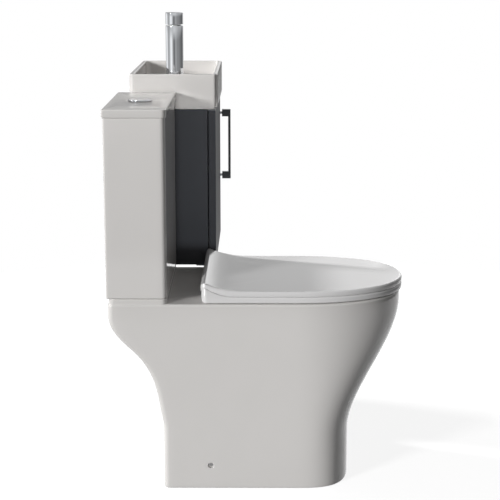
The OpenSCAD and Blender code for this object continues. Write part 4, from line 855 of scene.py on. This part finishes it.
def makeLamps():
    for name, (way, spread, strength) in studio["suns"].items():
        lamp = bpy.data.lights.new(name, "SUN")
        lamp.angle, lamp.energy = math.radians(spread), strength
        addStand(name, lamp, (0, 0, 0), Vector(way).to_track_quat("Z", "Y").to_euler())
    for name, strip in studio["strips"].items():
        addFill(name, *strip, studio["stripSpread"], (math.radians(90), 0, 0))
    way = Vector(studio["suns"]["Left"][0]).normalized()
    along = Vector(studio["lidAlong"])
    along = (along - way * along.dot(way)).normalized()
    turn = Matrix((along, way.cross(along), way)).transposed().to_euler()
    addFill("Fill_D", *studio["lidFill"], studio["lidSpread"], turn)


def makeFloor():
    # A matt grey floor for the light that falls on it. The camera and mirrors see it paler, with a white glow
    # that fades the shadow, but for the patch inside the foot.
    radius, (low, high) = studio["floorRadius"], studio["floorZ"]
    floor = addSurface("Floor", latheRings([[radius, low], [radius, high]], *studio["middle"], 96))
    material = bpy.data.materials.new("Studio_Floor")
    material.use_nodes = True
    tree = material.node_tree
    tree.nodes.clear()
    path = addNode(tree, "ShaderNodeLightPath").outputs
    seen = addNode(tree, "ShaderNodeMath", {
        0: path["Is Camera Ray"], 1: path["Is Glossy Ray"]}, operation="MAXIMUM")
    matt = addNode(tree, "ShaderNodeBsdfDiffuse", {"Color": fromHex(studio["floorDark"])})
    pale = addNode(tree, "ShaderNodeBsdfDiffuse", {"Color": fromHex(studio["floorPale"])})
    spot = addNode(tree, "ShaderNodeTexCoord").outputs["Object"]
    spot = addNode(tree, "ShaderNodeSeparateXYZ", {"Vector": spot}).outputs
    beyond = []
    for axis, (middle, half) in zip("XY", studio["foot"]):
        apart = addNode(tree, "ShaderNodeMath", {0: spot[axis], 1: middle}, operation="SUBTRACT").outputs["Value"]
        apart = addNode(tree, "ShaderNodeMath", {0: apart}, operation="ABSOLUTE").outputs["Value"]
        apart = addNode(tree, "ShaderNodeMath", {0: apart, 1: half}, operation="GREATER_THAN")
        beyond.append(apart.outputs["Value"])
    outside = addNode(tree, "ShaderNodeMath", {0: beyond[0], 1: beyond[1]}, operation="MAXIMUM")
    glow = addNode(tree, "ShaderNodeMath", {
        0: outside.outputs["Value"], 1: studio["floorGlow"]}, operation="MULTIPLY")
    white = addNode(tree, "ShaderNodeEmission", {"Color": (1, 1, 1, 1), "Strength": glow.outputs["Value"]})
    both = addNode(tree, "ShaderNodeAddShader", {0: pale.outputs["BSDF"], 1: white.outputs["Emission"]})
    mixed = addNode(tree, "ShaderNodeMixShader", {
        0: seen.outputs["Value"], 1: matt.outputs["BSDF"], 2: both.outputs["Shader"]})
    addNode(tree, "ShaderNodeOutputMaterial", {"Surface": mixed.outputs["Shader"]})
    floor.data.materials.append(material)


def makeStudio():
    world = bpy.data.worlds.new("Studio")
    bpy.context.scene.world = world
    world.use_nodes = True
    tree = world.node_tree
    tree.nodes.clear()
    light = addLight(tree, addNode(tree, "ShaderNodeLightPath").outputs)
    light = addNode(tree, "ShaderNodeBackground", {"Color": light})
    addNode(tree, "ShaderNodeOutputWorld", {"Surface": light.outputs["Background"]})
    makeLamps()
    makeFloor()
    camera = bpy.data.cameras.new("Camera")
    camera.sensor_width, camera.lens, camera.clip_end = 36, studio["focal"], 100
    turn = math.radians(90 - studio["pitch"]), 0, math.radians(studio["yaw"])
    bpy.context.scene.camera = addStand("Camera", camera, studio["from"], turn)
    bpy.context.scene.view_settings.view_transform = "Standard"


makeStudio()
print("studio made")
